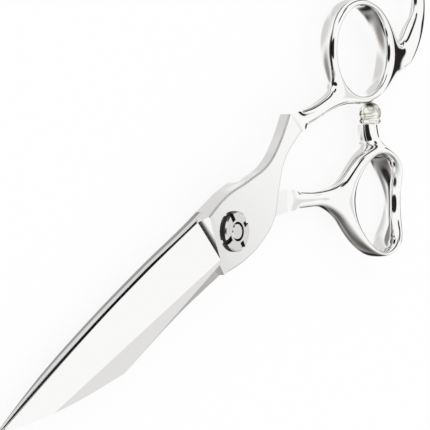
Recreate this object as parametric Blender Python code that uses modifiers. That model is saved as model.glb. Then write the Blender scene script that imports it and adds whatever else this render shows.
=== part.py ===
"""Hair cutting shears: two sword blades on a tension pivot, with cast ring handles.

The closed shears lie flat, blades towards -X, finger ring on the +Y side, +Z up out of the
front plate. The origin is on the pivot axis, on the flat rear face of the axle's head.
"""
import math

import bmesh
import bpy
from mathutils import Matrix, Vector

MM = 0.001

# Heights and clearances
RIDE_HEIGHT = 3.7 * MM            # middle of the gap between the two halves
RIDE_GAP = 0.3 * MM               # gap between the two plates
FRONT_PLATE = 2.8 * MM
REAR_PLATE = 2.5 * MM
SEAT_GAP = 0.2 * MM               # clearance of the pivot pieces along the axis
FIT_GAP = 0.3 * MM                # clearance of the pivot pieces round the axis
WELD_GAP = 0.2 * MM               # between a blade forging and its handle

# Blades, in plan from the pivot
BLADE_REACH = 83.5 * MM           # pivot to tip
TIP_MIDDLE = 0.5 * MM             # how far the tips lie to the finger side
TIP_HALF_WIDTH = 0.45 * MM
HEEL = 8.4 * MM                   # pivot to the start of the cutting edge
FRONT_HEEL_WIDTH = 6.9 * MM       # pivot line to the front cutting edge at the heel
FRONT_EDGE_BELLY = ((-30.0 * MM, 5.95 * MM), (-50.0 * MM, 4.5 * MM))
FRONT_SPINE_WAIST = ((-26.0 * MM, -6.5 * MM),)
FRONT_SPINE_CORNER = (-48.4 * MM, -8.1 * MM)   # where the front spine turns in towards the tip
FRONT_SPINE_SWEEP = ((-65.4 * MM, -4.9 * MM),)
REAR_HEEL_WIDTH = 5.6 * MM
REAR_EDGE_BELLY = ((-30.0 * MM, -4.5 * MM), (-50.0 * MM, -3.0 * MM))
REAR_SPINE_SWEEP = ((-73.0 * MM, 2.6 * MM), (-57.0 * MM, 4.5 * MM), (-30.0 * MM, 6.35 * MM))
REAR_SPINE_WIDTH = 7.0 * MM       # pivot line to the rear spine beside the plate
PLATE_HALF_WIDTH = 8.4 * MM
HEEL_STEP = (1.0 * MM, 0.4 * MM)  # corner of each plate, back and out from the heel of its edge
SPINE_HALF_WIDTH = 6.8 * MM       # pivot line to the front spine beside the plate
EDGE_THICKNESS = 0.45 * MM
BEVEL_SLOPE = math.radians(14.5)
TAPER_SLOPE = math.radians(1.25)  # thinning of the blade towards its tip
TAPER_LEAD = 3.0 * MM             # how far behind the heel the taper starts
SHOULDER_SLOPE = math.radians(50)
SPINE_CHAMFER = 1.5 * MM          # width of the front spine's chamfer at the plate
SPINE_CHAMFER_LENGTH = 20.0 * MM
HOLLOW_RADIUS = 45.0 * MM         # wheel that hollows the inner face
HOLLOW_DEPTH = 0.22 * MM
GRIND_ROOM = 12.0 * MM            # how far the grinding cutters reach past the metal

# Rounded outlines of the plates and tangs, as plan points from the pivot
FRONT_LOWER_SIDE = (
    (1.0 * MM, 0.4 * MM - PLATE_HALF_WIDTH),
    (9.5 * MM, 1.0 * MM - PLATE_HALF_WIDTH),
    (15.5 * MM, -5.2 * MM),
    (20.2 * MM, -0.2 * MM),
    (26.0 * MM, 5.0 * MM),
)
FRONT_UPPER_SIDE = (
    (26.5 * MM, 10.0 * MM),
    (19.5 * MM, 7.4 * MM),
    (12.0 * MM, PLATE_HALF_WIDTH - 0.9 * MM),
    (1.0 * MM, PLATE_HALF_WIDTH),
)
REAR_LOWER_SIDE = (
    (1.0 * MM, 0.9 * MM - PLATE_HALF_WIDTH),
    (11.0 * MM, 1.2 * MM - PLATE_HALF_WIDTH),
    (19.0 * MM, -6.8 * MM),
)
REAR_UPPER_SIDE = (
    (20.5 * MM, -0.6 * MM),
    (17.5 * MM, 3.4 * MM),
    (13.0 * MM, PLATE_HALF_WIDTH - 1.7 * MM),
    (6.0 * MM, PLATE_HALF_WIDTH - 0.6 * MM),
    (0.0 * MM, PLATE_HALF_WIDTH - 0.8 * MM),
)

# Tangs, in plan from the pivot: the middle, heading and width of the weld to the handle
FRONT_WELD = (34.0 * MM, 10.9 * MM)
FRONT_WELD_HEADING = math.radians(24)
FRONT_WELD_WIDTH = 6.4 * MM
REAR_WELD = (26.0 * MM, -5.8 * MM)
REAR_WELD_HEADING = math.radians(-26)
REAR_WELD_WIDTH = 5.4 * MM

# Pivot stack
NUT_DIAMETER = 9.3 * MM
NUT_THICKNESS = 1.65 * MM
NUT_CHAMFER = 0.35 * MM
KEY_SLOTS = 4
KEY_SLOT_WIDTH = 1.2 * MM
KEY_SLOT_DEPTH = 0.8 * MM
KEY_SLOT_WALL = 0.5 * MM          # metal left between a slot and the bore
KEY_SLOT_TURN = math.radians(4)
STUD_DIAMETER = 3.9 * MM
STUD_SET_BACK = 0.05 * MM
AXLE_HEAD_DIAMETER = 9.0 * MM
AXLE_SQUARE = STUD_DIAMETER + 0.2 * MM
COUNTERBORE_WEB = 1.05 * MM       # metal left under the counterbore of the front plate
SPRING_DIAMETER = NUT_DIAMETER - 0.9 * MM
SPRING_HEIGHT = 0.5 * MM
SPRING_SHEET = 0.3 * MM
THRUST_WASHER_DIAMETER = NUT_DIAMETER - 0.7 * MM
THRUST_WASHER_THICKNESS = 0.3 * MM
BUSH_WALL = 0.7 * MM
RIDE_WASHER_DIAMETER = 11.0 * MM
RIDE_WASHER_THICKNESS = 0.8 * MM

# Rings: hole, middle of the hole from the pivot and above the ride height, wall and depth
RING_STATIONS = 12
FINGER_HOLE = 22.6 * MM
FINGER_RING_CENTER = (69.8 * MM, 13.5 * MM, 0.3 * MM)
FINGER_RING_WALL = 2.1 * MM
FINGER_RING_DEPTH = (4.6 * MM, 6.8 * MM)    # on the near and on the far side from the pivot
FINGER_RING_TWIST = math.radians(-1)
THUMB_HOLE = (19.4 * MM, 24.2 * MM)
THUMB_RING_CENTER = (59.0 * MM, -24.1 * MM, 1.3 * MM)
THUMB_RING_WALL = 1.5 * MM
THUMB_RING_DEPTH = (4.5 * MM, 9.9 * MM)     # all round and on the two horns of the far side
THUMB_RING_LEAN = math.radians(61.5)        # heading of the long axis of the thumb hole
THUMB_RING_TWIST = math.radians(12.3)       # turn of the ring about that axis

# Shanks and finger rest, as sections from the ring outwards: place from the pivot and above the
# ride height, heading in degrees, width in plan and depth
FINGER_SHANK_STATION = 6          # ring station that the shank grows after
FINGER_SHANK = (
    (50.4 * MM, 7.9 * MM, 0.3 * MM, 173, 3.9 * MM, 4.3 * MM),
    (44.0 * MM, 8.4 * MM, 0.6 * MM, 170, 4.0 * MM, 4.1 * MM),
    (38.6 * MM, 9.8 * MM, 1.1 * MM, 176, 4.8 * MM, 3.7 * MM),
)
FINGER_REST_STATION = 10
FINGER_REST_ANGLE = math.radians(-32)
FINGER_REST_SWELL = 4.7 * MM      # extra wall of the ring under the finger rest
FINGER_REST_SPREAD = math.radians(68)
FINGER_REST = (
    (90.0 * MM, 2.3 * MM, 0.0 * MM, -2, 7.8 * MM, 5.1 * MM),
    (96.7 * MM, 6.4 * MM, 0.0 * MM, 26, 7.2 * MM, 6.3 * MM),
    (101.2 * MM, 8.8 * MM, 0.4 * MM, 48, 5.2 * MM, 3.6 * MM),
    (104.0 * MM, 13.4 * MM, 0.4 * MM, 62, 4.8 * MM, 3.3 * MM),
    (105.8 * MM, 18.2 * MM, 0.4 * MM, 70, 4.2 * MM, 3.0 * MM),
)
THUMB_SHANK_STATION = 5
THUMB_SHANK = (
    (40.8 * MM, -12.8 * MM, -1.3 * MM, 153, 4.3 * MM, 4.4 * MM),
    (35.5 * MM, -10.5 * MM, -0.9 * MM, 154, 4.0 * MM, 4.0 * MM),
    (30.5 * MM, -8.0 * MM, -1.2 * MM, 153, 4.4 * MM, 3.4 * MM),
)
THUMB_POST_STATION = 2
THUMB_CROTCH_ANGLE = math.radians(145)
THUMB_CROTCH_SWELL = 1.9 * MM     # extra wall of the ring between shank and post
THUMB_CROTCH_SPREAD = math.radians(75)
THUMB_FAR_SWELL = 1.95 * MM       # extra wall on the far side
THUMB_FAR_SPREAD = math.radians(106)
THUMB_NEAR_SWELL = 2.8 * MM       # extra wall on the side of the shank
THUMB_NEAR_SPREAD = math.radians(70)
THUMB_NEAR_DEPTH = 1.6 * MM       # extra depth there
THUMB_NEAR_DROP = 4.6 * MM        # how far the ring dips there
THUMB_DROP_SPREAD = math.radians(86)
THUMB_WEB_ANGLE = math.radians(100)
THUMB_WEB_DEPTH = 2.2 * MM        # extra depth downwards, under the post
THUMB_WEB_SPREAD = math.radians(38)
THUMB_SADDLE = math.radians(52)   # horns of the far side, each way from its middle
THUMB_HORN_SPREAD = math.radians(41)

# Bumper on the post of the thumb handle
BUMPER_GAP = 0.6 * MM             # clearance of the bumper from the finger ring
BUMPER_DIAMETER = 5.6 * MM
BUMPER_HEIGHT = 5.5 * MM
BUMPER_GROOVE = 0.35 * MM
BUMPER_GROOVE_SPAN = (0.75, 0.5, 0.25)      # top, middle and bottom, as shares of the straight side
BUMPER_STEM_DIAMETER = 2.2 * MM
BUMPER_STEM_LENGTH = 3.0 * MM
BUMPER_HEADING = math.radians(61.6)
BUMPER_CONTACT = math.radians(-93)          # where the bumper meets the finger ring
POST = (                          # from the ring up: place under the top, drop, width and depth
    (3.6 * MM, 0.9 * MM, 5.8 * MM, 6.5 * MM),
    (0.0 * MM, 0.95 * MM, 5.4 * MM, 5.4 * MM),
)

# A subdivided square cage draws in to this share of its half size
CAGE_SHARE = 0.93
SMOOTH_LEVELS = 2
CURVE_STEPS = 6
DOME_STEPS = 6
ROUND_STEPS = 48
SMALL_ROUND_STEPS = 32
WHEEL_STEPS = 180
MERGE_DISTANCE = 0.005 * MM

THUMB_SIDE = ("thumb_blade", "thumb_handle", "pivot_axle", "ride_washer", "thrust_washer",
              "tension_nut", "bumper")

FRONT_FLOOR = RIDE_HEIGHT + RIDE_GAP / 2
FRONT_TOP = FRONT_FLOOR + FRONT_PLATE
REAR_TOP = RIDE_HEIGHT - RIDE_GAP / 2
REAR_FLOOR = REAR_TOP - REAR_PLATE
COUNTERBORE_FLOOR = FRONT_FLOOR + COUNTERBORE_WEB
SPRING_FLOOR = COUNTERBORE_FLOOR + SEAT_GAP
THRUST_FLOOR = SPRING_FLOOR + SPRING_HEIGHT + SEAT_GAP
NUT_FLOOR = THRUST_FLOOR + THRUST_WASHER_THICKNESS + SEAT_GAP
NUT_TOP = NUT_FLOOR + NUT_THICKNESS
BUSH_BORE = STUD_DIAMETER + 2 * FIT_GAP
BUSH_DIAMETER = BUSH_BORE + 2 * BUSH_WALL


def clear_scene():
    for old in list(bpy.data.objects):
        bpy.data.objects.remove(old, do_unlink=True)


def new_collection(name):
    made = bpy.data.collections.new(name)
    bpy.context.scene.collection.children.link(made)
    return made


def principled(name, color, metallic, roughness, transmission=0.0):
    made = bpy.data.materials.new(name)
    made.use_nodes = True
    shader = made.node_tree.nodes["Principled BSDF"]
    shader.inputs["Base Color"].default_value = (*color, 1.0)
    shader.inputs["Metallic"].default_value = metallic
    shader.inputs["Roughness"].default_value = roughness
    shader.inputs["Transmission Weight"].default_value = transmission
    return made


def add_mesh(name, bm, group, material=None):
    """Turn a finished bmesh into a named object in a collection."""
    bmesh.ops.recalc_face_normals(bm, faces=bm.faces)
    mesh = bpy.data.meshes.new(name)
    bm.to_mesh(mesh)
    bm.free()
    made = bpy.data.objects.new(name, mesh)
    group.objects.link(made)
    if material:
        mesh.materials.append(material)
    return made


def as_cutter(made):
    made.hide_render = True
    made.display_type = "WIRE"
    return made


def boolean(target, tool, operation="DIFFERENCE"):
    step = target.modifiers.new(tool.name, "BOOLEAN")
    step.operation = operation
    step.object = tool


def round_bar(name, diameter, bottom, top, group):
    """Upright round bar on the pivot axis."""
    bm = bmesh.new()
    middle = Matrix.Translation((0, 0, (bottom + top) / 2))
    bmesh.ops.create_cone(bm, cap_ends=True, segments=ROUND_STEPS, radius1=diameter / 2,
                          radius2=diameter / 2, depth=top - bottom, matrix=middle)
    return add_mesh(name, bm, group)


def block(name, size, matrix, group):
    bm = bmesh.new()
    bmesh.ops.create_cube(bm, size=1.0, matrix=matrix @ Matrix.Diagonal((*size, 1.0)))
    return add_mesh(name, bm, group)


def turned(name, profile, group, material, steps=ROUND_STEPS):
    """Solid turned about Z from a profile of (radius, height) that runs from top to bottom."""
    bm = bmesh.new()
    points = [bm.verts.new((radius, 0, height)) for radius, height in profile]
    for first, second in zip(points, points[1:]):
        bm.edges.new((first, second))
    mesh = bpy.data.meshes.new(name)
    bm.to_mesh(mesh)
    bm.free()
    mesh.materials.append(material)
    made = bpy.data.objects.new(name, mesh)
    group.objects.link(made)
    screw = made.modifiers.new("Turn", "SCREW")
    screw.steps = steps
    screw.render_steps = steps
    screw.use_merge_vertices = True
    screw.merge_threshold = MERGE_DISTANCE
    screw.use_smooth_shade = True
    return made


def washer_profile(inner, outer, bottom, top):
    """Closed profile of a flat ring, for a turned solid."""
    near = inner / 2
    far = outer / 2
    return [(near, top), (far, top), (far, bottom), (near, bottom), (near, top)]


def heading_vector(angle):
    return Vector((math.cos(angle), math.sin(angle), 0.0))


def weld_ends(middle, heading, width):
    """Left and right corner of a weld line across a tang that runs along heading."""
    center = Vector((*middle, 0.0))
    across = heading_vector(heading + math.pi / 2) * (width / 2)
    return center + across, center - across


def flat_blank(name, outline, bottom, thickness, group):
    """Flat forging from an outline of (x, y, is_corner), made into a mesh for the grinding cuts."""
    curve = bpy.data.curves.new(name, "CURVE")
    curve.dimensions = "2D"
    curve.fill_mode = "BOTH"
    curve.extrude = thickness / 2
    curve.resolution_u = CURVE_STEPS
    spline = curve.splines.new("BEZIER")
    spline.bezier_points.add(len(outline) - 1)
    spline.use_cyclic_u = True
    for point, (x, y, is_corner) in zip(spline.bezier_points, outline):
        point.co = (x, y, 0)
        handle = "VECTOR" if is_corner else "AUTO"
        point.handle_left_type = handle
        point.handle_right_type = handle
    drawn = bpy.data.objects.new(name + "_curve", curve)
    group.objects.link(drawn)
    drawn.location.z = bottom + thickness / 2
    bpy.context.view_layer.update()
    depsgraph = bpy.context.evaluated_depsgraph_get()
    mesh = bpy.data.meshes.new_from_object(drawn.evaluated_get(depsgraph))
    bm = bmesh.new()
    bm.from_mesh(mesh)
    bmesh.ops.remove_doubles(bm, verts=bm.verts, dist=MERGE_DISTANCE)
    bmesh.ops.transform(bm, matrix=drawn.matrix_world, verts=bm.verts)
    made = add_mesh(name, bm, group)
    bpy.data.objects.remove(drawn, do_unlink=True)
    return made


def corners(*points):
    """Outline points that stay sharp."""
    return [(x, y, True) for x, y in points]


def curves(points):
    """Outline points that a smooth curve runs through."""
    return [(x, y, False) for x, y in points]


def front_outline():
    """Plan of the front forging, counter-clockwise from the tip along the spine."""
    weld_left, weld_right = weld_ends(FRONT_WELD, FRONT_WELD_HEADING, FRONT_WELD_WIDTH)
    back, out = HEEL_STEP
    spine = corners((-BLADE_REACH, TIP_MIDDLE - TIP_HALF_WIDTH)) + curves(FRONT_SPINE_SWEEP)
    spine += corners(FRONT_SPINE_CORNER) + curves(FRONT_SPINE_WAIST) + corners((-HEEL, -SPINE_HALF_WIDTH))
    weld = corners(weld_right.xy, weld_left.xy)
    edge = corners((back - HEEL, FRONT_HEEL_WIDTH + out), (-HEEL, FRONT_HEEL_WIDTH))
    edge += curves(FRONT_EDGE_BELLY) + corners((-BLADE_REACH, TIP_MIDDLE + TIP_HALF_WIDTH))
    return spine + curves(FRONT_LOWER_SIDE) + weld + curves(FRONT_UPPER_SIDE) + edge


def rear_outline():
    """Plan of the rear forging, counter-clockwise from the tip along the cutting edge."""
    weld_left, weld_right = weld_ends(REAR_WELD, REAR_WELD_HEADING, REAR_WELD_WIDTH)
    back, out = HEEL_STEP
    edge = corners((-BLADE_REACH, TIP_MIDDLE - TIP_HALF_WIDTH)) + curves(reversed(REAR_EDGE_BELLY))
    edge += corners((-HEEL, -REAR_HEEL_WIDTH), (back - HEEL, -REAR_HEEL_WIDTH - out))
    weld = corners(weld_right.xy, weld_left.xy)
    spine = curves(((-HEEL, REAR_SPINE_WIDTH), *reversed(REAR_SPINE_SWEEP)))
    spine += corners((-BLADE_REACH, TIP_MIDDLE + TIP_HALF_WIDTH))
    return edge + curves(REAR_LOWER_SIDE) + weld + curves(REAR_UPPER_SIDE) + spine


def plane_matrix(origin, along, normal):
    """Frame with X along a line, Z along a plane's normal, at a point."""
    x_axis = along.normalized()
    z_axis = (normal - x_axis * normal.dot(x_axis)).normalized()
    y_axis = z_axis.cross(x_axis)
    frame = Matrix((x_axis, y_axis, z_axis)).transposed().to_4x4()
    return Matrix.Translation(origin) @ frame


def grind(blank, side, floor, top, heel_width, spine_width, cutters):
    """Grind a blade into its forging: edge bevel, taper and hollow inner face.

    The front blade has side 1. The rear one has side -1: it is the same work turned over about X.
    """
    edge_height = floor + side * EDGE_THICKNESS
    heel = Vector((-HEEL, side * heel_width, edge_height))
    tip = Vector((-BLADE_REACH, TIP_MIDDLE + side * TIP_HALF_WIDTH, edge_height))
    along = tip - heel
    length = along.length
    outward = Vector((0, 0, side))

    away = Matrix.Rotation(BEVEL_SLOPE, 3, along.normalized()) @ outward
    bevel_frame = plane_matrix(heel, along, away)
    bevel = bmesh.new()
    reach = length + GRIND_ROOM
    bevel_size = (reach, 4 * GRIND_ROOM, GRIND_ROOM)
    bmesh.ops.create_cube(bevel, size=1.0, matrix=Matrix.Diagonal((*bevel_size, 1.0)))
    bmesh.ops.translate(bevel, verts=bevel.verts, vec=(reach / 2, 0, GRIND_ROOM / 2))
    for vert in bevel.verts:
        if vert.co.x < reach / 2:
            vert.co.x -= vert.co.z / math.tan(SHOULDER_SLOPE)
    bmesh.ops.transform(bevel, matrix=bevel_frame, verts=bevel.verts)
    boolean(blank, as_cutter(add_mesh(blank.name + "_bevel", bevel, cutters)))

    taper_start = Vector((TAPER_LEAD - HEEL, 0, top))
    taper_line = Matrix.Rotation(-side * TAPER_SLOPE, 3, "Y") @ Vector((-1, 0, 0))
    taper_frame = plane_matrix(taper_start, taper_line, outward)
    taper_size = (BLADE_REACH + GRIND_ROOM, 4 * GRIND_ROOM, GRIND_ROOM)
    taper_shift = Matrix.Translation((taper_size[0] / 2, 0, taper_size[2] / 2))
    taper = block(blank.name + "_taper", taper_size, taper_frame @ taper_shift, cutters)
    boolean(blank, as_cutter(taper))

    hollow = bmesh.new()
    wheel_line = Vector((-BLADE_REACH + HEEL, 0, -side * HOLLOW_DEPTH))
    wheel_height = floor - side * (HOLLOW_RADIUS - HOLLOW_DEPTH)
    wheel_middle = Vector((-HEEL, side * (heel_width - spine_width) / 2, wheel_height))
    wheel_turn = wheel_line.to_track_quat("Z", "Y").to_matrix().to_4x4()
    wheel_length = BLADE_REACH + GRIND_ROOM
    bmesh.ops.create_cone(hollow, cap_ends=True, segments=WHEEL_STEPS, radius1=HOLLOW_RADIUS,
                          radius2=HOLLOW_RADIUS, depth=wheel_length)
    bmesh.ops.translate(hollow, verts=hollow.verts, vec=(0, 0, wheel_length / 2))
    wheel_place = Matrix.Translation(wheel_middle) @ wheel_turn
    bmesh.ops.transform(hollow, matrix=wheel_place, verts=hollow.verts)
    boolean(blank, as_cutter(add_mesh(blank.name + "_hollow", hollow, cutters)))


def grind_spine(blank, cutters):
    """Chamfer the front spine from the plate on, fading out along the blade."""
    start = Vector((-HEEL, SPINE_CHAMFER - SPINE_HALF_WIDTH, FRONT_TOP))
    end = Vector((-HEEL - SPINE_CHAMFER_LENGTH, -SPINE_HALF_WIDTH, FRONT_TOP))
    chamfer_frame = plane_matrix(start, end - start, Vector((0, -1, 1)))
    size = (BLADE_REACH, GRIND_ROOM, GRIND_ROOM)
    shift = Matrix.Translation((size[0] / 2, 0, size[2] / 2))
    boolean(blank, as_cutter(block(blank.name + "_chamfer", size, chamfer_frame @ shift, cutters)))


def make_blades(parts, cutters, steel):
    """The two blade forgings with their pivot bores."""
    front = flat_blank("finger_blade", front_outline(), FRONT_FLOOR, FRONT_PLATE, parts)
    rear = flat_blank("thumb_blade", rear_outline(), REAR_FLOOR, REAR_PLATE, parts)
    for blade in (front, rear):
        blade.data.materials.append(steel)
    grind(front, 1, FRONT_FLOOR, FRONT_TOP, FRONT_HEEL_WIDTH, SPINE_HALF_WIDTH, cutters)
    grind(rear, -1, REAR_TOP, REAR_FLOOR, REAR_HEEL_WIDTH, REAR_SPINE_WIDTH, cutters)
    grind_spine(front, cutters)

    recess = (RIDE_WASHER_THICKNESS + 2 * SEAT_GAP) / 2
    recess_width = RIDE_WASHER_DIAMETER + 2 * FIT_GAP
    through = FRONT_TOP + GRIND_ROOM
    bores = (
        (front, "counterbore", NUT_DIAMETER + 2 * FIT_GAP, COUNTERBORE_FLOOR, through),
        (front, "bush_bore", BUSH_DIAMETER + 2 * FIT_GAP, -through, through),
        (front, "front_recess", recess_width, RIDE_HEIGHT - recess, RIDE_HEIGHT + recess),
        (rear, "rear_recess", recess_width, RIDE_HEIGHT - recess, RIDE_HEIGHT + recess),
    )
    for blade, name, diameter, bottom, top in bores:
        boolean(blade, as_cutter(round_bar(name, diameter, bottom, top, cutters)))
    square = AXLE_SQUARE + 2 * FIT_GAP
    square_hole = block("square_hole", (square, square, 4 * GRIND_ROOM), Matrix.Identity(4), cutters)
    boolean(rear, as_cutter(square_hole))


def make_pivot(parts, cutters, steel, bright, plastic, bronze):
    """Axle, bush, washers, spring and slotted nut on the pivot axis."""
    axle = round_bar("pivot_axle", AXLE_HEAD_DIAMETER, 0.0, REAR_FLOOR - SEAT_GAP, parts)
    axle.data.materials.append(bright)
    neck_top = REAR_TOP - SEAT_GAP
    neck_size = (AXLE_SQUARE, AXLE_SQUARE, neck_top - SEAT_GAP)
    neck_place = Matrix.Translation((0, 0, (neck_top + SEAT_GAP) / 2))
    boolean(axle, as_cutter(block("axle_neck", neck_size, neck_place, cutters)), "UNION")
    stud = round_bar("axle_stud", STUD_DIAMETER, SEAT_GAP * 2, NUT_TOP - STUD_SET_BACK, cutters)
    boolean(axle, as_cutter(stud), "UNION")

    bush = washer_profile(BUSH_BORE, BUSH_DIAMETER, FRONT_FLOOR + SEAT_GAP, COUNTERBORE_FLOOR)
    turned("pivot_bush", bush, parts, bronze)
    half_washer = RIDE_WASHER_THICKNESS / 2
    washer_bore = AXLE_SQUARE * math.sqrt(2) + 2 * FIT_GAP
    ride = washer_profile(washer_bore, RIDE_WASHER_DIAMETER, RIDE_HEIGHT - half_washer,
                          RIDE_HEIGHT + half_washer)
    turned("ride_washer", ride, parts, plastic)
    thrust_top = THRUST_FLOOR + THRUST_WASHER_THICKNESS
    thrust = washer_profile(BUSH_BORE, THRUST_WASHER_DIAMETER, THRUST_FLOOR, thrust_top)
    turned("thrust_washer", thrust, parts, steel)
    bore = BUSH_BORE / 2
    spring_top = SPRING_FLOOR + SPRING_HEIGHT
    spring_rim = SPRING_DIAMETER / 2
    cone = [(bore, spring_top), (spring_rim, SPRING_FLOOR + SPRING_SHEET), (spring_rim, SPRING_FLOOR),
            (bore, spring_top - SPRING_SHEET), (bore, spring_top)]
    turned("disc_spring", cone, parts, steel)

    rim = NUT_DIAMETER / 2
    disc = [(bore, NUT_TOP), (rim - NUT_CHAMFER, NUT_TOP), (rim, NUT_TOP - NUT_CHAMFER),
            (rim, NUT_FLOOR), (bore, NUT_FLOOR), (bore, NUT_TOP)]
    nut = turned("tension_nut", disc, parts, bright)
    slot_start = bore + KEY_SLOT_WALL
    slot_size = (NUT_DIAMETER, KEY_SLOT_WIDTH, 2 * KEY_SLOT_DEPTH)
    for number in range(KEY_SLOTS):
        turn = Matrix.Rotation(KEY_SLOT_TURN + number * math.tau / KEY_SLOTS, 4, "Z")
        place = Matrix.Translation((slot_start + NUT_DIAMETER / 2, 0, NUT_TOP))
        boolean(nut, as_cutter(block(f"key_slot_{number + 1}", slot_size, turn @ place, cutters)))


def section(bm, center, across, up, width, depth):
    """Four cage corners of an oval section: right top, left top, left bottom, right bottom."""
    side = across.normalized() * (width / 2 / CAGE_SHARE)
    rise = up.normalized() * (depth / 2 / CAGE_SHARE)
    corners = (rise - side, rise + side, side - rise, -side - rise)
    return [bm.verts.new(center + corner) for corner in corners]


def bridge(bm, first, second):
    for corner in range(4):
        after = (corner + 1) % 4
        bm.faces.new((first[corner], first[after], second[after], second[corner]))


def ring_cage(bm, center, hole, wall, depth, drop, lean, twist):
    """Cage of a finger ring: sections round an oval hole. Returns them, from the lean axis on.

    wall, depth and drop give a section's size and its place under the ring's plane from its angle.
    hole has the widths across and along lean.
    """
    turn = Matrix.Rotation(lean - math.pi / 2, 3, "Z") @ Matrix.Rotation(twist, 3, "Y")
    draw_in = 2 / 3 + math.cos(math.tau / RING_STATIONS) / 3
    up = turn @ Vector((0, 0, 1))
    sections = []
    for station in range(RING_STATIONS):
        angle = math.tau * (station + 0.5) / RING_STATIONS
        thickness = wall(angle)
        radial = turn @ heading_vector(angle)
        place = turn @ Vector(((hole[0] + thickness) / 2 * math.cos(angle),
                               (hole[1] + thickness) / 2 * math.sin(angle), 0.0))
        middle = center + place / draw_in - up * drop(angle)
        sections.append(section(bm, middle, -radial, up, thickness, depth(angle)))
    return sections


def close_ring(bm, sections, open_faces):
    """Join the sections of a ring, and leave its outer wall open after the stations in open_faces."""
    for station, first in enumerate(sections):
        second = sections[(station + 1) % RING_STATIONS]
        for corner in range(4):
            if corner == 3 and station in open_faces:
                continue
            after = (corner + 1) % 4
            bm.faces.new((first[corner], first[after], second[after], second[corner]))


def limb(bm, start, stations, flat_end=None, round_end=False):
    """Grow a limb from four cage corners through sections of (center, heading, width, depth).

    A flat_end is one more section with sharp corners, to meet a flat tang. A round_end keeps
    the last section as a flat round face. Else the limb ends in a soft cap.
    """
    up = Vector((0, 0, 1))
    last = start
    for center, heading, width, depth in stations:
        across = heading_vector(heading + math.pi / 2)
        after = section(bm, center, across, up, width, depth)
        bridge(bm, last, after)
        last = after
    sharp = []
    if flat_end:
        center, heading, width, depth = flat_end
        across = heading_vector(heading + math.pi / 2)
        end = section(bm, center, across, up, width * CAGE_SHARE, depth * CAGE_SHARE)
        bridge(bm, last, end)
        sharp += list(zip(last, end))
        last = end
    bm.faces.new(last)
    if flat_end or round_end:
        sharp += list(zip(last, last[1:] + last[:1]))
    crease = bm.edges.layers.float.get("crease_edge") or bm.edges.layers.float.new("crease_edge")
    for ends in sharp:
        bm.edges.get(ends)[crease] = 1.0


def smooth_cage(name, bm, group, material):
    made = add_mesh(name, bm, group, material)
    made.data.shade_smooth()
    subsurf = made.modifiers.new("Smooth", "SUBSURF")
    subsurf.levels = SMOOTH_LEVELS
    subsurf.render_levels = SMOOTH_LEVELS
    return made


def rise(x, y, z):
    """Point given in plan from the pivot and in height from the ride height."""
    return Vector((x, y, RIDE_HEIGHT + z))


def stations_of(table):
    """Sections of a limb from its table of driving sizes."""
    return [(rise(x, y, z), math.radians(turn), width, depth) for x, y, z, turn, width, depth in table]


def swell(angle, middle, spread):
    """Smooth bump of 0 to 1 round a ring, at its highest at the angle middle."""
    away = math.atan2(math.sin(angle - middle), math.cos(angle - middle))
    return math.cos(math.pi / 2 * away / spread) ** 2 if abs(away) < spread else 0.0


def outer_face(sections, station):
    """Cage corners of the outer wall of a ring after a station, ready for a limb to grow from."""
    right = sections[station]
    left = sections[(station + 1) % RING_STATIONS]
    return [right[0], left[0], left[3], right[3]]


def finger_wall(angle):
    """Wall of the finger ring, which swells towards the finger rest."""
    return FINGER_RING_WALL + FINGER_REST_SWELL * swell(angle, FINGER_REST_ANGLE, FINGER_REST_SPREAD)


def finger_depth(angle):
    near, far = FINGER_RING_DEPTH
    return near + (far - near) * (1 + math.cos(angle)) / 2


def finger_drop(angle):
    """The finger ring lies flat all round."""
    return 0.0


def thumb_wall(angle):
    """Wall of the thumb ring, thicker in the crotch, beside the shank and on the far side."""
    crotch = THUMB_CROTCH_SWELL * swell(angle, THUMB_CROTCH_ANGLE, THUMB_CROTCH_SPREAD)
    near = THUMB_NEAR_SWELL * swell(angle, math.pi, THUMB_NEAR_SPREAD)
    far = THUMB_FAR_SWELL * swell(angle, 0.0, THUMB_FAR_SPREAD)
    return THUMB_RING_WALL + crotch + near + far


def thumb_web(angle):
    """Extra depth of the thumb ring under its post."""
    return THUMB_WEB_DEPTH * swell(angle, THUMB_WEB_ANGLE, THUMB_WEB_SPREAD)


def thumb_depth(angle):
    """Depth of the thumb ring, with a saddle between two horns on the far side."""
    plain, horn = THUMB_RING_DEPTH
    sides = (THUMB_SADDLE, -THUMB_SADDLE)
    horns = (horn - plain) * max(swell(angle, side, THUMB_HORN_SPREAD) for side in sides)
    return plain + horns + thumb_web(angle) + THUMB_NEAR_DEPTH * swell(angle, math.pi, THUMB_DROP_SPREAD)


def thumb_drop(angle):
    """How far the thumb ring dips on the side of its shank and under its post."""
    return thumb_web(angle) / 2 + THUMB_NEAR_DROP * swell(angle, math.pi, THUMB_DROP_SPREAD)


def make_finger_handle(parts, steel):
    """Slim shank, finger ring and finger rest of the front half."""
    bm = bmesh.new()
    center = rise(*FINGER_RING_CENTER)
    ring = ring_cage(bm, center, (FINGER_HOLE, FINGER_HOLE), finger_wall, finger_depth, finger_drop,
                     math.pi / 2, FINGER_RING_TWIST)
    close_ring(bm, ring, (FINGER_SHANK_STATION, FINGER_REST_STATION))
    back = FRONT_WELD_HEADING + math.pi
    weld = Vector((*FRONT_WELD, FRONT_FLOOR + FRONT_PLATE / 2)) - heading_vector(back) * WELD_GAP
    end = (weld, back, FRONT_WELD_WIDTH, FRONT_PLATE)
    limb(bm, outer_face(ring, FINGER_SHANK_STATION), stations_of(FINGER_SHANK), end)
    limb(bm, outer_face(ring, FINGER_REST_STATION), stations_of(FINGER_REST))
    return smooth_cage("finger_handle", bm, parts, steel)


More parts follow.
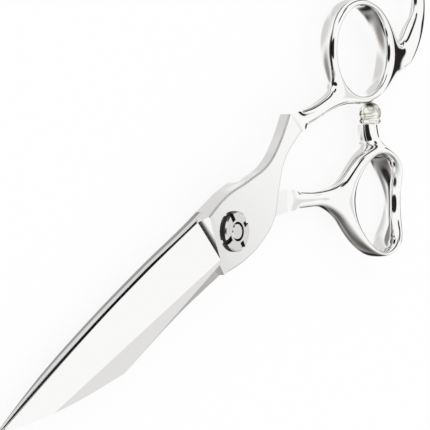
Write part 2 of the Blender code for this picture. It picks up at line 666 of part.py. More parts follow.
def bumper_base():
    """Foot of the bumper on its axis, so that its dome just clears the finger ring."""
    center = rise(*FINGER_RING_CENTER)
    ring_radius = FINGER_HOLE / 2 + finger_wall(BUMPER_CONTACT)
    dome = center + heading_vector(BUMPER_CONTACT) * (ring_radius + BUMPER_GAP + BUMPER_DIAMETER / 2)
    base = dome - heading_vector(BUMPER_HEADING) * (BUMPER_HEIGHT - BUMPER_DIAMETER / 2)
    base.z = RIDE_HEIGHT
    return base


def make_thumb_handle(parts, cutters, steel):
    """Shank, twisted thumb ring and bumper post of the rear half."""
    bm = bmesh.new()
    center = rise(*THUMB_RING_CENTER)
    ring = ring_cage(bm, center, THUMB_HOLE, thumb_wall, thumb_depth, thumb_drop,
                     THUMB_RING_LEAN, THUMB_RING_TWIST)
    close_ring(bm, ring, (THUMB_SHANK_STATION, THUMB_POST_STATION))
    back = REAR_WELD_HEADING + math.pi
    weld = Vector((*REAR_WELD, REAR_FLOOR + REAR_PLATE / 2)) - heading_vector(back) * WELD_GAP
    end = (weld, back, REAR_WELD_WIDTH, REAR_PLATE)
    limb(bm, outer_face(ring, THUMB_SHANK_STATION), stations_of(THUMB_SHANK), end)
    up_post = heading_vector(BUMPER_HEADING)
    post_top = bumper_base() - up_post * FIT_GAP
    post = [(post_top - up_post * below - Vector((0, 0, drop)), BUMPER_HEADING, width, depth)
            for below, drop, width, depth in POST]
    limb(bm, outer_face(ring, THUMB_POST_STATION), post, round_end=True)
    handle = smooth_cage("thumb_handle", bm, parts, steel)

    hole_depth = BUMPER_STEM_LENGTH + FIT_GAP
    hole = bmesh.new()
    hole_radius = BUMPER_STEM_DIAMETER / 2 + FIT_GAP
    bmesh.ops.create_cone(hole, cap_ends=True, segments=SMALL_ROUND_STEPS, radius1=hole_radius,
                          radius2=hole_radius, depth=2 * hole_depth, matrix=bumper_matrix())
    boolean(handle, as_cutter(add_mesh("stem_hole", hole, cutters)))
    return handle


def bumper_matrix():
    turn = heading_vector(BUMPER_HEADING).to_track_quat("Z", "X").to_matrix().to_4x4()
    return Matrix.Translation(bumper_base()) @ turn


def make_bumper(parts, silicone):
    """Domed silicone stop with a grip groove and a push-in stem."""
    radius = BUMPER_DIAMETER / 2
    shoulder = BUMPER_HEIGHT - radius
    dome = [(radius * math.sin(step), shoulder + radius * math.cos(step))
            for step in (math.pi / 2 * part / DOME_STEPS for part in range(DOME_STEPS + 1))]
    top, middle, bottom = (shoulder * share for share in BUMPER_GROOVE_SPAN)
    groove = [(radius, top), (radius - BUMPER_GROOVE, middle), (radius, bottom)]
    stem = BUMPER_STEM_DIAMETER / 2
    foot = [(radius - BUMPER_GROOVE, 0.0), (stem, 0.0),
            (stem, -BUMPER_STEM_LENGTH), (0.0, -BUMPER_STEM_LENGTH)]
    bumper = turned("bumper", dome + groove + foot, parts, silicone, SMALL_ROUND_STEPS)
    bumper.matrix_world = bumper_matrix()
    return bumper


def make_shears():
    clear_scene()
    parts = new_collection("hair_cutting_shears")
    cutters = new_collection("cutters")
    polished = principled("polished_steel", (0.82, 0.82, 0.81), 1.0, 0.06)
    bright = principled("bright_steel", (0.74, 0.74, 0.73), 1.0, 0.12)
    spring_steel = principled("spring_steel", (0.55, 0.55, 0.56), 1.0, 0.30)
    nylon = principled("white_nylon", (0.90, 0.90, 0.88), 0.0, 0.45)
    bronze = principled("bush_bronze", (0.62, 0.42, 0.20), 1.0, 0.35)
    silicone = principled("clear_silicone", (0.93, 0.92, 0.86), 0.0, 0.12, 0.8)

    make_blades(parts, cutters, polished)
    make_finger_handle(parts, polished)
    make_thumb_handle(parts, cutters, polished)
    make_pivot(parts, cutters, spring_steel, bright, nylon, bronze)
    make_bumper(parts, silicone)

    thumb_pivot = bpy.data.objects.new("thumb_side_pivot", None)
    parts.objects.link(thumb_pivot)
    for name in THUMB_SIDE:
        piece = bpy.data.objects[name]
        place = piece.matrix_world.copy()
        piece.parent = thumb_pivot
        piece.matrix_world = place


make_shears()
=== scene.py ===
"""Hair cutting shears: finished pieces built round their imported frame, on a studio stage."""
import math

import bmesh
import bpy
from bpy.props import FloatProperty, FloatVectorProperty, IntProperty, PointerProperty
from mathutils import Matrix, Vector


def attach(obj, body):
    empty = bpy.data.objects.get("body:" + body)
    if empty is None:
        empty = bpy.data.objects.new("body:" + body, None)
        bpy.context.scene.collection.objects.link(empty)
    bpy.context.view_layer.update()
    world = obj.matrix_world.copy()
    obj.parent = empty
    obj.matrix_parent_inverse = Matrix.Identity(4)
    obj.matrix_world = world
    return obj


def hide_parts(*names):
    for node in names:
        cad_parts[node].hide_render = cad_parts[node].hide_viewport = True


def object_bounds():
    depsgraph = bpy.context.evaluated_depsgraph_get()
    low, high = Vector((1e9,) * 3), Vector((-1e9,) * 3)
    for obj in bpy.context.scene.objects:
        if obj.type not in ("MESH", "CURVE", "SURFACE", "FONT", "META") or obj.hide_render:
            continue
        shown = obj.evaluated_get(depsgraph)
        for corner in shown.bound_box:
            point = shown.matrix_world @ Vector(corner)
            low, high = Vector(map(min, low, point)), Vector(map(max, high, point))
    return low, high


bl_info = {
    "name": "Hair Cutting Shears",
    "version": (1, 0, 0),
    "blender": (4, 5, 0),
    "location": "3D View > Sidebar > Shears",
    "description": "Builds finished hair cutting shears round their packed frame, and a stage for them",
    "category": "Object",
}

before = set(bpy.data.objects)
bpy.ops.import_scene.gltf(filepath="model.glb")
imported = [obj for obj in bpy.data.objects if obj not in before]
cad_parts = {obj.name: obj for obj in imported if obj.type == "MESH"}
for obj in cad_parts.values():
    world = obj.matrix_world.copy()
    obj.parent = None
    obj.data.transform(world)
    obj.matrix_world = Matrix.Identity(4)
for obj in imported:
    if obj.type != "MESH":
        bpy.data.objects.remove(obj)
CAD_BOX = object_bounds()
MM = 0.001

# Heights and clearances, as in the frame
RIDE_HEIGHT = 3.7 * MM
RIDE_GAP = 0.3 * MM
FRONT_PLATE = 2.8 * MM
REAR_PLATE = 2.5 * MM
SEAT_GAP = 0.2 * MM
FIT_GAP = 0.3 * MM
WELD_LAP = 0.1 * MM
FRONT_FLOOR = RIDE_HEIGHT + RIDE_GAP / 2
FRONT_TOP = FRONT_FLOOR + FRONT_PLATE
REAR_TOP = RIDE_HEIGHT - RIDE_GAP / 2
REAR_FLOOR = REAR_TOP - REAR_PLATE

# Blades, in plan from the pivot
BLADE_REACH = 83.5 * MM
TIP_MIDDLE = 0.5 * MM
TIP_HALF_WIDTH = 0.45 * MM
HEEL = 8.4 * MM
FRONT_HEEL_WIDTH = 6.9 * MM
FRONT_EDGE_BELLY = ((-30.0 * MM, 5.95 * MM), (-50.0 * MM, 4.5 * MM))
FRONT_SPINE_WAIST = ((-26.0 * MM, -6.5 * MM),)
FRONT_SPINE_CORNER = (-48.4 * MM, -8.1 * MM)
FRONT_SPINE_SWEEP = ((-65.4 * MM, -4.9 * MM),)
REAR_HEEL_WIDTH = 5.6 * MM
REAR_EDGE_BELLY = ((-30.0 * MM, -4.5 * MM), (-50.0 * MM, -3.0 * MM))
REAR_SPINE_SWEEP = ((-73.0 * MM, 2.6 * MM), (-57.0 * MM, 4.5 * MM), (-30.0 * MM, 6.35 * MM))
PLATE_HALF_WIDTH = 8.4 * MM
HEEL_STEP = (1.0 * MM, 0.4 * MM)
SPINE_HALF_WIDTH = 6.8 * MM
REAR_SPINE_WIDTH = 7.0 * MM
EDGE_THICKNESS = 0.45 * MM
BEVEL_SLOPE = math.radians(13)
TAPER_SLOPE = math.radians(0.95)
TAPER_LEAD = 3.0 * MM
SHOULDER_SLOPE = (math.radians(62), math.radians(42))
SHOULDER_RISE = 2.4 * MM
SHOULDER_STEPS = 12
SPINE_CHAMFER = 2.8 * MM
SPINE_CHAMFER_LENGTH = 27.0 * MM
SPINE_CHAMFER_SLOPE = math.radians(22)
HOLLOW_RADIUS = 45.0 * MM
HOLLOW_DEPTH = 0.22 * MM
GRIND_ROOM = 12.0 * MM
FLAT_ANGLE = math.radians(5)
# Painted shade and highlight bands on the rear spine: share of the spine's height, and share of the bright steel colour
# there
SPINE_SHADE_BANDS = ((0.48, 0.0), (0.56, 1.0), (0.70, 1.0), (0.75, 0.5), (0.79, 0.5), (0.84, 1.0))
RIM_ROUND = 0.4 * MM
RIM_END = -0.8 * HEEL
FRONT_LOWER_SIDE = (
    (1.0 * MM, 0.4 * MM - PLATE_HALF_WIDTH),
    (9.5 * MM, 1.0 * MM - PLATE_HALF_WIDTH),
    (15.5 * MM, -5.2 * MM),
    (20.2 * MM, -0.2 * MM),
    (26.0 * MM, 5.0 * MM),
)
FRONT_UPPER_SIDE = (
    (26.5 * MM, 10.0 * MM),
    (19.5 * MM, 7.4 * MM),
    (12.0 * MM, PLATE_HALF_WIDTH - 0.9 * MM),
    (1.0 * MM, PLATE_HALF_WIDTH),
)
REAR_LOWER_SIDE = (
    (1.0 * MM, 0.9 * MM - PLATE_HALF_WIDTH),
    (11.0 * MM, 1.2 * MM - PLATE_HALF_WIDTH),
    (19.0 * MM, -6.8 * MM),
)
REAR_UPPER_SIDE = (
    (20.5 * MM, -0.6 * MM),
    (17.5 * MM, 3.4 * MM),
    (13.0 * MM, PLATE_HALF_WIDTH - 1.7 * MM),
    (6.0 * MM, PLATE_HALF_WIDTH - 0.6 * MM),
    (0.0 * MM, PLATE_HALF_WIDTH - 0.8 * MM),
)
FRONT_WELD = (34.0 * MM, 10.9 * MM)
FRONT_WELD_HEADING = math.radians(24)
FRONT_WELD_WIDTH = 6.4 * MM
REAR_WELD = (26.0 * MM, -5.8 * MM)
REAR_WELD_HEADING = math.radians(-26)
REAR_WELD_WIDTH = 5.4 * MM

# Pivot
NUT_DIAMETER = 9.3 * MM
NUT_TOP = 7.7 * MM
NUT_FLOOR = 6.3 * MM
NUT_CHAMFER = 0.3 * MM
# Height on the nut's wall above which it is painted black as shade
NUT_SHADE_LINE = 6.6 * MM
NUT_GAP = 0.08 * MM
KEY_SLOTS = 4
KEY_SLOT_WIDTH = 1.2 * MM
KEY_SLOT_DEPTH = 0.8 * MM
KEY_SLOT_WALL = 0.5 * MM
KEY_SLOT_TURN = math.radians(4)
STUD_DIAMETER = 3.9 * MM
STUD_TOP = 7.65 * MM
AXLE_HEAD_DIAMETER = 9.0 * MM
AXLE_SQUARE = 4.1 * MM
COUNTERBORE_FLOOR = 4.9 * MM
BUSH_BORE = 4.5 * MM
BUSH_DIAMETER = 5.9 * MM
RIDE_WASHER_DIAMETER = 11.0 * MM
RIDE_RECESS = 0.6 * MM

# Handles
RING_STATIONS = 12
CAGE_SHARE = 0.93
FINGER_HOLE = 22.6 * MM
FINGER_RING_CENTER = (69.8 * MM, 13.5 * MM, 0.3 * MM)
FINGER_RING_WALL = 2.1 * MM
FINGER_RING_DEPTH = (4.6 * MM, 6.8 * MM)
FINGER_RING_TWIST = math.radians(-1)
THUMB_HOLE = (19.4 * MM, 24.2 * MM)
THUMB_RING_CENTER = (59.0 * MM, -24.1 * MM, 1.3 * MM)
THUMB_RING_WALL = 1.5 * MM
THUMB_RING_DEPTH = (4.5 * MM, 9.9 * MM)
THUMB_RING_LEAN = math.radians(61.5)
THUMB_RING_TWIST = math.radians(12.3)
FINGER_SHANK_STATION = 6
FINGER_SHANK = (
    (50.4 * MM, 7.9 * MM, 0.3 * MM, 173, 3.9 * MM, 4.3 * MM),
    (44.0 * MM, 8.4 * MM, 0.6 * MM, 170, 4.0 * MM, 4.1 * MM),
    (38.6 * MM, 9.8 * MM, 1.1 * MM, 176, 4.8 * MM, 3.7 * MM),
)
FINGER_REST_STATION = 10
FINGER_REST_ANGLE = math.radians(-32)
FINGER_REST_SWELL = 4.7 * MM
FINGER_REST_SPREAD = math.radians(68)
FINGER_REST_DISH = 1.4 * MM
FINGER_RIM_CREASE = 0.3
FINGER_REST = (
    (90.0 * MM, 2.3 * MM, 0.0 * MM, -2, 7.8 * MM, 5.1 * MM),
    (96.7 * MM, 6.4 * MM, 0.0 * MM, 26, 7.2 * MM, 6.3 * MM),
    (101.2 * MM, 8.8 * MM, 0.4 * MM, 48, 5.2 * MM, 3.6 * MM),
    (104.0 * MM, 13.4 * MM, 0.4 * MM, 62, 4.8 * MM, 3.3 * MM),
    (105.8 * MM, 18.2 * MM, 0.4 * MM, 70, 4.2 * MM, 3.0 * MM),
)
THUMB_SHANK_STATION = 5
THUMB_SHANK = (
    (40.8 * MM, -12.8 * MM, -1.3 * MM, 153, 4.3 * MM, 4.4 * MM),
    (35.5 * MM, -10.5 * MM, -0.9 * MM, 154, 4.0 * MM, 4.0 * MM),
    (30.5 * MM, -8.0 * MM, -1.2 * MM, 153, 4.4 * MM, 3.4 * MM),
)
THUMB_POST_STATION = 2
THUMB_CROTCH_ANGLE = math.radians(145)
THUMB_CROTCH_SWELL = 1.9 * MM
THUMB_CROTCH_SPREAD = math.radians(75)
THUMB_FAR_SWELL = 1.95 * MM
THUMB_FAR_SPREAD = math.radians(106)
THUMB_NEAR_SWELL = 2.8 * MM
THUMB_NEAR_SPREAD = math.radians(70)
THUMB_NEAR_DEPTH = 1.6 * MM
THUMB_NEAR_DROP = 4.6 * MM
THUMB_DROP_SPREAD = math.radians(86)
THUMB_WEB_ANGLE = math.radians(100)
THUMB_WEB_DEPTH = 2.2 * MM
THUMB_WEB_SPREAD = math.radians(38)
THUMB_SADDLE = math.radians(52)
THUMB_HORN_SPREAD = math.radians(41)

# Bumper
BUMPER_GAP = 0.6 * MM
BUMPER_DIAMETER = 5.6 * MM
BUMPER_HEIGHT = 5.5 * MM
BUMPER_GROOVE = 0.35 * MM
BUMPER_GROOVE_SPAN = (0.75, 0.5, 0.25)
BUMPER_STEM_DIAMETER = 2.2 * MM
BUMPER_STEM_LENGTH = 3.0 * MM
BUMPER_HEADING = math.radians(61.6)
BUMPER_CONTACT = math.radians(-93)
POST = (
    (3.6 * MM, 0.9 * MM, 5.8 * MM, 6.5 * MM),
    (0.0 * MM, 0.95 * MM, 5.4 * MM, 5.4 * MM),
)

# Soft flags and lights of the studio round the shears: azimuth, elevation and tilt in degrees, half
# width and half height as shares of the distance, share of that which fades out, and tone
FLAGS = (
    (-105, -12, 0, 1.20, 0.90, 0.90, 0.12),
    (-66, -26, 0, 0.40, 0.50, 0.70, 0.04),
    (-165, -38, 0, 0.95, 0.40, 0.80, 0.30),
    (-155, -14, -20, 0.75, 0.22, 0.60, 0.05),
    (160, -2, 0, 1.10, 0.30, 0.50, 0.03),
    (150, 30, 0, 0.38, 0.60, 0.25, 0.02),
    (72, 42, 0, 0.26, 0.22, 0.40, 0.02),
    (58, 33, 0, 0.22, 0.26, 0.50, 0.05),
    (30, 12, 11, 0.75, 0.18, 0.50, 0.05),
    (-20, 14, 40, 0.44, 0.18, 0.40, 0.02),
    (100, -50, 0, 0.65, 0.60, 0.60, 0.70),
    (42, -32, 0, 0.70, 0.22, 0.50, 0.73),
    (-96, -44, 0, 0.40, 0.28, 1.00, 0.12),
    (80, -14, 12, 1.05, 0.09, 0.50, 0.25),
    (-36, 42, 0, 0.18, 0.18, 0.35, 0.79),
    (-161, 12, 0, 0.26, 0.38, 0.60, 0.04),
    (-46, 12, 0, 0.16, 0.16, 0.50, 0.40),
)
FLAG_WARMTH = (1.0, 1.04, 1.08)

# Camera: where the pivot's plate falls in the picture, and the picture's size, in pixels
PICTURE_SIDE = 430.0
FLOOR_HALF_SIZE = 2.0
FLOOR_GAP = 0.05 * MM
PIVOT_IN_PICTURE = (234.4, 231.5)


class ShapeSettings(bpy.types.PropertyGroup):
    """Fineness and edge rounding of the pieces."""

    edge_round: FloatProperty(name="Edge round", description="Rounding of the ground edges",
                              default=0.06 * MM, min=0.0, unit="LENGTH", precision=5)
    smooth_levels: IntProperty(name="Smooth levels", description="Subdivision of the cast handles",
                               default=4, min=1, max=5)
    outline_steps: IntProperty(name="Outline steps", description="Steps in each curve of a plate's outline",
                               default=24, min=4, max=64)
    round_steps: IntProperty(name="Round steps", description="Sides of the turned pieces",
                             default=128, min=16, max=256)


class FinishSettings(bpy.types.PropertyGroup):
    """Colours and gloss of the finishes."""

    steel_color: FloatVectorProperty(name="Polished steel", description="Colour of blades and handles",
                                     subtype="COLOR", default=(0.96, 0.96, 0.955), min=0.0, max=1.0)
    steel_roughness: FloatProperty(name="Polish", description="Roughness of the polished steel",
                                   subtype="FACTOR", default=0.05, min=0.0, max=1.0)
    ground_roughness: FloatProperty(name="Ground steel", description="Roughness of the ground blades",
                                    subtype="FACTOR", default=0.12, min=0.0, max=1.0)
    # The spine's dark colour is painted shade, broken by bands of painted highlight.
    spine_shade_color: FloatVectorProperty(name="Spine shade", description="Colour of the rear blade's spine",
                                     subtype="COLOR", default=(0.40, 0.395, 0.40), min=0.0, max=1.0)
    # The rim's darker grey is painted shade along the plate's edge.
    rim_color: FloatVectorProperty(name="Rim", description="Colour of the front plate's rounded rim",
                                   subtype="COLOR", default=(0.60, 0.60, 0.60), min=0.0, max=1.0)
    # The land's near-black colour is painted shade: it stands in for the shadowed gap between the blades.
    land_shade_color: FloatVectorProperty(name="Edge shade", description="Colour of the land along the cutting edges",
                                    subtype="COLOR", default=(0.012, 0.012, 0.012), min=0.0, max=1.0)
    nut_color: FloatVectorProperty(name="Bright steel", description="Colour of the nut and axle",
                                   subtype="COLOR", default=(0.78, 0.77, 0.77), min=0.0, max=1.0)
    # Near black: painted shade in the slots, gaps and hollows of the pivot and post.
    shade_black_color: FloatVectorProperty(name="Slot black", description="Painted black shade in the key slots",
                                    subtype="COLOR", default=(0.012, 0.011, 0.011), min=0.0, max=1.0)
    silicone_color: FloatVectorProperty(name="Silicone", description="Tint of the clear bumper",
                                        subtype="COLOR", default=(0.96, 0.95, 0.90), min=0.0, max=1.0)
    # The swirls' dark tint is painted reflection of the dark surroundings.
    swirl_reflection_color: FloatVectorProperty(name="Silicone dark swirls", description="Tint of the painted dark reflections in the bumper",
                                    subtype="COLOR", default=(0.20, 0.19, 0.12), min=0.0, max=1.0)


class StageSettings(bpy.types.PropertyGroup):
    """Camera, floor and surroundings."""

    camera_distance: FloatProperty(name="Camera distance", description="Depth from the camera to the pivot",
                                   default=0.45, min=0.05, unit="LENGTH")
    camera_lens: FloatProperty(name="Lens", description="Focal length on a 36 mm sensor, in millimetres",
                               default=164.64, min=20.0)
    camera_tilt: FloatProperty(name="Tilt", description="Angle between the view and the pivot axis",
                               default=math.radians(53), subtype="ANGLE")
    camera_turn: FloatProperty(name="Turn", description="Turn of the shears in the picture",
                               default=math.radians(28.4), subtype="ANGLE")
    floor_color: FloatVectorProperty(name="Floor", description="Colour of the floor",
                                     subtype="COLOR", default=(0.97, 0.97, 0.97), min=0.0, max=1.0)
    floor_glow: FloatProperty(name="Floor glow", description="How much of the floor's white hides the shadow",
                              subtype="FACTOR", default=0.85, min=0.0, max=1.0)
    surround: FloatProperty(name="Surround", description="Tone of the studio between its flags and lights",
                            default=0.98, min=0.0, max=1.0)


def heading_vector(angle):
    return Vector((math.cos(angle), math.sin(angle), 0.0))


def add_mesh(name, bm, materials=()):
    """Turn a finished bmesh into a named object in the scene."""
    bmesh.ops.recalc_face_normals(bm, faces=bm.faces)
    mesh = bpy.data.meshes.new(name)
    bm.to_mesh(mesh)
    bm.free()
    for material in materials:
        mesh.materials.append(material)
    made = bpy.data.objects.new(name, mesh)
    bpy.context.scene.collection.objects.link(made)
    return made


def cut(target, tools, operation="DIFFERENCE"):
    """Cut tools out of a piece, or join them to it, and remove them."""
    for tool in tools:
        step = target.modifiers.new(tool.name, "BOOLEAN")
        step.operation = operation
        step.object = tool
        step.solver = "EXACT"
        bake(target)
        bpy.data.objects.remove(tool, do_unlink=True)


def bake(made):
    """Replace a piece's mesh by what its modifiers make of it."""
    bpy.context.view_layer.update()
    depsgraph = bpy.context.evaluated_depsgraph_get()
    mesh = bpy.data.meshes.new_from_object(made.evaluated_get(depsgraph))
    made.modifiers.clear()
    made.data = mesh


def finish_faces(made, material, picks):
    """Give a finish to the faces for which picks(center, normal) holds."""
    made.data.materials.append(material)
    for face in made.data.polygons:
        if picks(face.center, face.normal):
            face.material_index = len(made.data.materials) - 1


def round_rim(made, width, picks):
    """Round the edges between a plate's top and its side walls where picks(middle) holds."""
    bm = bmesh.new()
    bm.from_mesh(made.data)
    bmesh.ops.dissolve_limit(bm, angle_limit=math.radians(0.1), verts=bm.verts, edges=bm.edges)
    weight = bm.edges.layers.float.new("bevel_weight_edge")
    for edge in bm.edges:
        steepness = sorted(abs(face.normal.z) for face in edge.link_faces)
        middle = (edge.verts[0].co + edge.verts[1].co) / 2
        if steepness[0] < 0.2 and steepness[-1] > 0.9 and picks(middle):
            edge[weight] = 1.0
    bm.to_mesh(made.data)
    bm.free()
    bevel = made.modifiers.new("Rim", "BEVEL")
    bevel.width = width
    bevel.segments = 5
    bevel.limit_method = "WEIGHT"
    bevel.use_clamp_overlap = False
    bake(made)


def soften_edges(made, width, angle=math.radians(28), segments=2):
    """Round the sharp edges of a ground piece, and shade it smooth between them."""
    bevel = made.modifiers.new("Round", "BEVEL")
    bevel.width = width
    bevel.segments = segments
    bevel.limit_method = "ANGLE"
    bevel.angle_limit = angle
    bevel.miter_outer = "MITER_ARC"
    bevel.harden_normals = True
    made.data.shade_smooth()
    made.data.set_sharp_from_angle(angle=FLAT_ANGLE)
    bpy.context.view_layer.update()


def round_bar(name, diameter, bottom, top, steps):
    bm = bmesh.new()
    middle = Matrix.Translation((0, 0, (bottom + top) / 2))
    bmesh.ops.create_cone(bm, cap_ends=True, segments=steps, radius1=diameter / 2,
                          radius2=diameter / 2, depth=top - bottom, matrix=middle)
    return add_mesh(name, bm)


def block(name, size, matrix):
    bm = bmesh.new()
    bmesh.ops.create_cube(bm, size=1.0, matrix=matrix @ Matrix.Diagonal((*size, 1.0)))
    return add_mesh(name, bm)


def turned(name, profile, steps, materials):
    """Closed solid turned about Z from (radius, height) points that run from top to bottom."""
    bm = bmesh.new()
    rings = []
    for radius, height in profile:
        if radius < 1e-7:
            rings.append([bm.verts.new((0, 0, height))])
            continue
        rings.append([bm.verts.new((radius * math.cos(math.tau * side / steps),
                                    radius * math.sin(math.tau * side / steps), height))
                      for side in range(steps)])
    pairs = list(zip(rings, rings[1:]))
    if len(rings[0]) > 1 and len(rings[-1]) > 1:
        pairs.append((rings[-1], rings[0]))
    for upper, lower in pairs:
        for side in range(steps):
            after = (side + 1) % steps
            corners = [upper[side % len(upper)], lower[side % len(lower)],
                       lower[after % len(lower)], upper[after % len(upper)]]
            unique = list(dict.fromkeys(corners))
            bm.faces.new(unique)
    return add_mesh(name, bm, materials)


def weld_ends(middle, heading, width):
    """Left and right corner of a tang that runs along heading, a little past its weld line."""
    center = Vector((*middle, 0.0)) + heading_vector(heading) * WELD_LAP
    across = heading_vector(heading + math.pi / 2) * (width / 2)
    return center + across, center - across


def corners(*points):
    """Outline points that stay sharp."""
    return [(x, y, True) for x, y in points]


def curves(points):
    """Outline points that a smooth curve runs through."""
    return [(x, y, False) for x, y in points]


def flat_blank(name, outline, bottom, thickness, steps):
    """Flat forging from an outline of (x, y, is_corner)."""
    curve = bpy.data.curves.new(name, "CURVE")
    curve.dimensions = "2D"
    curve.fill_mode = "BOTH"
    curve.extrude = thickness / 2
    curve.resolution_u = steps
    spline = curve.splines.new("BEZIER")
    spline.bezier_points.add(len(outline) - 1)
    spline.use_cyclic_u = True
    for point, (x, y, is_corner) in zip(spline.bezier_points, outline):
        point.co = (x, y, 0)
        handle = "VECTOR" if is_corner else "AUTO"
        point.handle_left_type = handle
        point.handle_right_type = handle
    drawn = bpy.data.objects.new(name + "_outline", curve)
    bpy.context.scene.collection.objects.link(drawn)
    bpy.context.view_layer.update()
    mesh = bpy.data.meshes.new_from_object(drawn.evaluated_get(bpy.context.evaluated_depsgraph_get()))
    bm = bmesh.new()
    bm.from_mesh(mesh)
    bmesh.ops.remove_doubles(bm, verts=bm.verts, dist=0.002 * MM)
    bmesh.ops.translate(bm, verts=bm.verts, vec=(0, 0, bottom + thickness / 2))
    bpy.data.objects.remove(drawn, do_unlink=True)
    bpy.data.curves.remove(curve)
    return add_mesh(name, bm)


def front_outline():
    """Plan of the front forging, counter-clockwise from the tip along the spine."""
    weld_left, weld_right = weld_ends(FRONT_WELD, FRONT_WELD_HEADING, FRONT_WELD_WIDTH)
    back, out = HEEL_STEP
    spine = (corners((-BLADE_REACH, TIP_MIDDLE - TIP_HALF_WIDTH)) + curves(FRONT_SPINE_SWEEP)
             + corners(FRONT_SPINE_CORNER) + curves(FRONT_SPINE_WAIST) + corners((-HEEL, -SPINE_HALF_WIDTH)))
    weld = corners(weld_right.xy, weld_left.xy)
    edge = (corners((back - HEEL, FRONT_HEEL_WIDTH + out), (-HEEL, FRONT_HEEL_WIDTH)) + curves(FRONT_EDGE_BELLY)
            + corners((-BLADE_REACH, TIP_MIDDLE + TIP_HALF_WIDTH)))
    return spine + curves(FRONT_LOWER_SIDE) + weld + curves(FRONT_UPPER_SIDE) + edge


def rear_outline():
    """Plan of the rear forging, counter-clockwise from the tip along the cutting edge."""
    weld_left, weld_right = weld_ends(REAR_WELD, REAR_WELD_HEADING, REAR_WELD_WIDTH)
    back, out = HEEL_STEP
    edge = (corners((-BLADE_REACH, TIP_MIDDLE - TIP_HALF_WIDTH)) + curves(reversed(REAR_EDGE_BELLY))
            + corners((-HEEL, -REAR_HEEL_WIDTH), (back - HEEL, -REAR_HEEL_WIDTH - out)))
    weld = corners(weld_right.xy, weld_left.xy)
    spine = curves(((-HEEL, REAR_SPINE_WIDTH), *reversed(REAR_SPINE_SWEEP)))
    tip = corners((-BLADE_REACH, TIP_MIDDLE + TIP_HALF_WIDTH))
    return edge + curves(REAR_LOWER_SIDE) + weld + curves(REAR_UPPER_SIDE) + spine + tip


def plane_matrix(origin, along, normal):
    """Frame with X along a line, Z along a plane's normal, at a point."""
    x_axis = along.normalized()
    z_axis = (normal - x_axis * normal.dot(x_axis)).normalized()
    y_axis = z_axis.cross(x_axis)
    turn = Matrix((x_axis, y_axis, z_axis)).transposed().to_4x4()
    return Matrix.Translation(origin) @ turn


def shoulder_curve():
    """Rounded shoulder that the edge bevel leaves on the plate, as (distance, height) points."""
    foot, crest = SHOULDER_SLOPE
    points = [(0.0, 0.0)]
    for step in range(SHOULDER_STEPS):
        slope = foot + (crest - foot) * (step + 0.5) / SHOULDER_STEPS
        rise_by = SHOULDER_RISE / SHOULDER_STEPS
        points.append((points[-1][0] - rise_by / math.tan(slope), points[-1][1] + rise_by))
    rest = GRIND_ROOM - SHOULDER_RISE
    return [*points, (points[-1][0] - rest / math.tan(crest), GRIND_ROOM)]


def grinding_tools(side, floor, top, heel_width, spine_width):
    """Cutters that grind a blade: edge bevel, taper and hollow inner face.

    The front blade has side 1. The rear one has side -1: it is the same work turned over about X.
    """
    edge_height = floor + side * EDGE_THICKNESS
    heel = Vector((-HEEL, side * heel_width, edge_height))
    tip = Vector((-BLADE_REACH, TIP_MIDDLE + side * TIP_HALF_WIDTH, edge_height))
    along = tip - heel
    outward = Vector((0, 0, side))

    away = Matrix.Rotation(BEVEL_SLOPE, 3, along.normalized()) @ outward
    reach = along.length + GRIND_ROOM
    profile = [*shoulder_curve(), (reach, GRIND_ROOM), (reach, 0.0)]
    bevel = bmesh.new()
    near, far = ([bevel.verts.new((x, y, z)) for x, z in profile] for y in (-2 * GRIND_ROOM, 2 * GRIND_ROOM))
    bevel.faces.new(near)
    bevel.faces.new(far)
    for corner in range(len(profile)):
        bevel.faces.new((near[corner - 1], near[corner], far[corner], far[corner - 1]))
    bmesh.ops.transform(bevel, matrix=plane_matrix(heel, along, away), verts=bevel.verts)
    tools = [add_mesh("bevel_tool", bevel)]

    taper_line = Matrix.Rotation(-side * TAPER_SLOPE, 3, "Y") @ Vector((-1, 0, 0))
    taper_frame = plane_matrix(Vector((TAPER_LEAD - HEEL, 0, top)), taper_line, outward)
    taper_size = (BLADE_REACH + GRIND_ROOM, 4 * GRIND_ROOM, GRIND_ROOM)
    taper_shift = Matrix.Translation((taper_size[0] / 2, 0, taper_size[2] / 2))
    tools.append(block("taper_tool", taper_size, taper_frame @ taper_shift))

    hollow = bmesh.new()
    wheel_line = Vector((-BLADE_REACH + HEEL, 0, -side * HOLLOW_DEPTH))
    wheel_height = floor - side * (HOLLOW_RADIUS - HOLLOW_DEPTH)
    wheel_middle = Vector((-HEEL, side * (heel_width - spine_width) / 2, wheel_height))
    wheel_turn = wheel_line.to_track_quat("Z", "Y").to_matrix().to_4x4()
    wheel_length = BLADE_REACH + GRIND_ROOM
    bmesh.ops.create_cone(hollow, cap_ends=True, segments=240, radius1=HOLLOW_RADIUS,
                          radius2=HOLLOW_RADIUS, depth=wheel_length)
    bmesh.ops.translate(hollow, verts=hollow.verts, vec=(0, 0, wheel_length / 2))
    bmesh.ops.transform(hollow, matrix=Matrix.Translation(wheel_middle) @ wheel_turn, verts=hollow.verts)
    tools.append(add_mesh("hollow_tool", hollow))
    return tools


def chamfer_tool():
    """Cutter for the front spine's chamfer, which fades out along the tapered blade."""
    start = Vector((-HEEL, SPINE_CHAMFER - SPINE_HALF_WIDTH, FRONT_TOP))
    end = Vector((-HEEL - SPINE_CHAMFER_LENGTH, -SPINE_HALF_WIDTH, FRONT_TOP))
    for point in (start, end):
        point.z -= (TAPER_LEAD - HEEL - point.x) * math.tan(TAPER_SLOPE)
    leaning = Vector((0, -math.sin(SPINE_CHAMFER_SLOPE), math.cos(SPINE_CHAMFER_SLOPE)))
    frame_on_spine = plane_matrix(start, end - start, leaning)
    size = (BLADE_REACH, GRIND_ROOM, GRIND_ROOM)
    shift = Matrix.Translation((size[0] / 2, 0, size[2] / 2))
    return block("chamfer_tool", size, frame_on_spine @ shift)


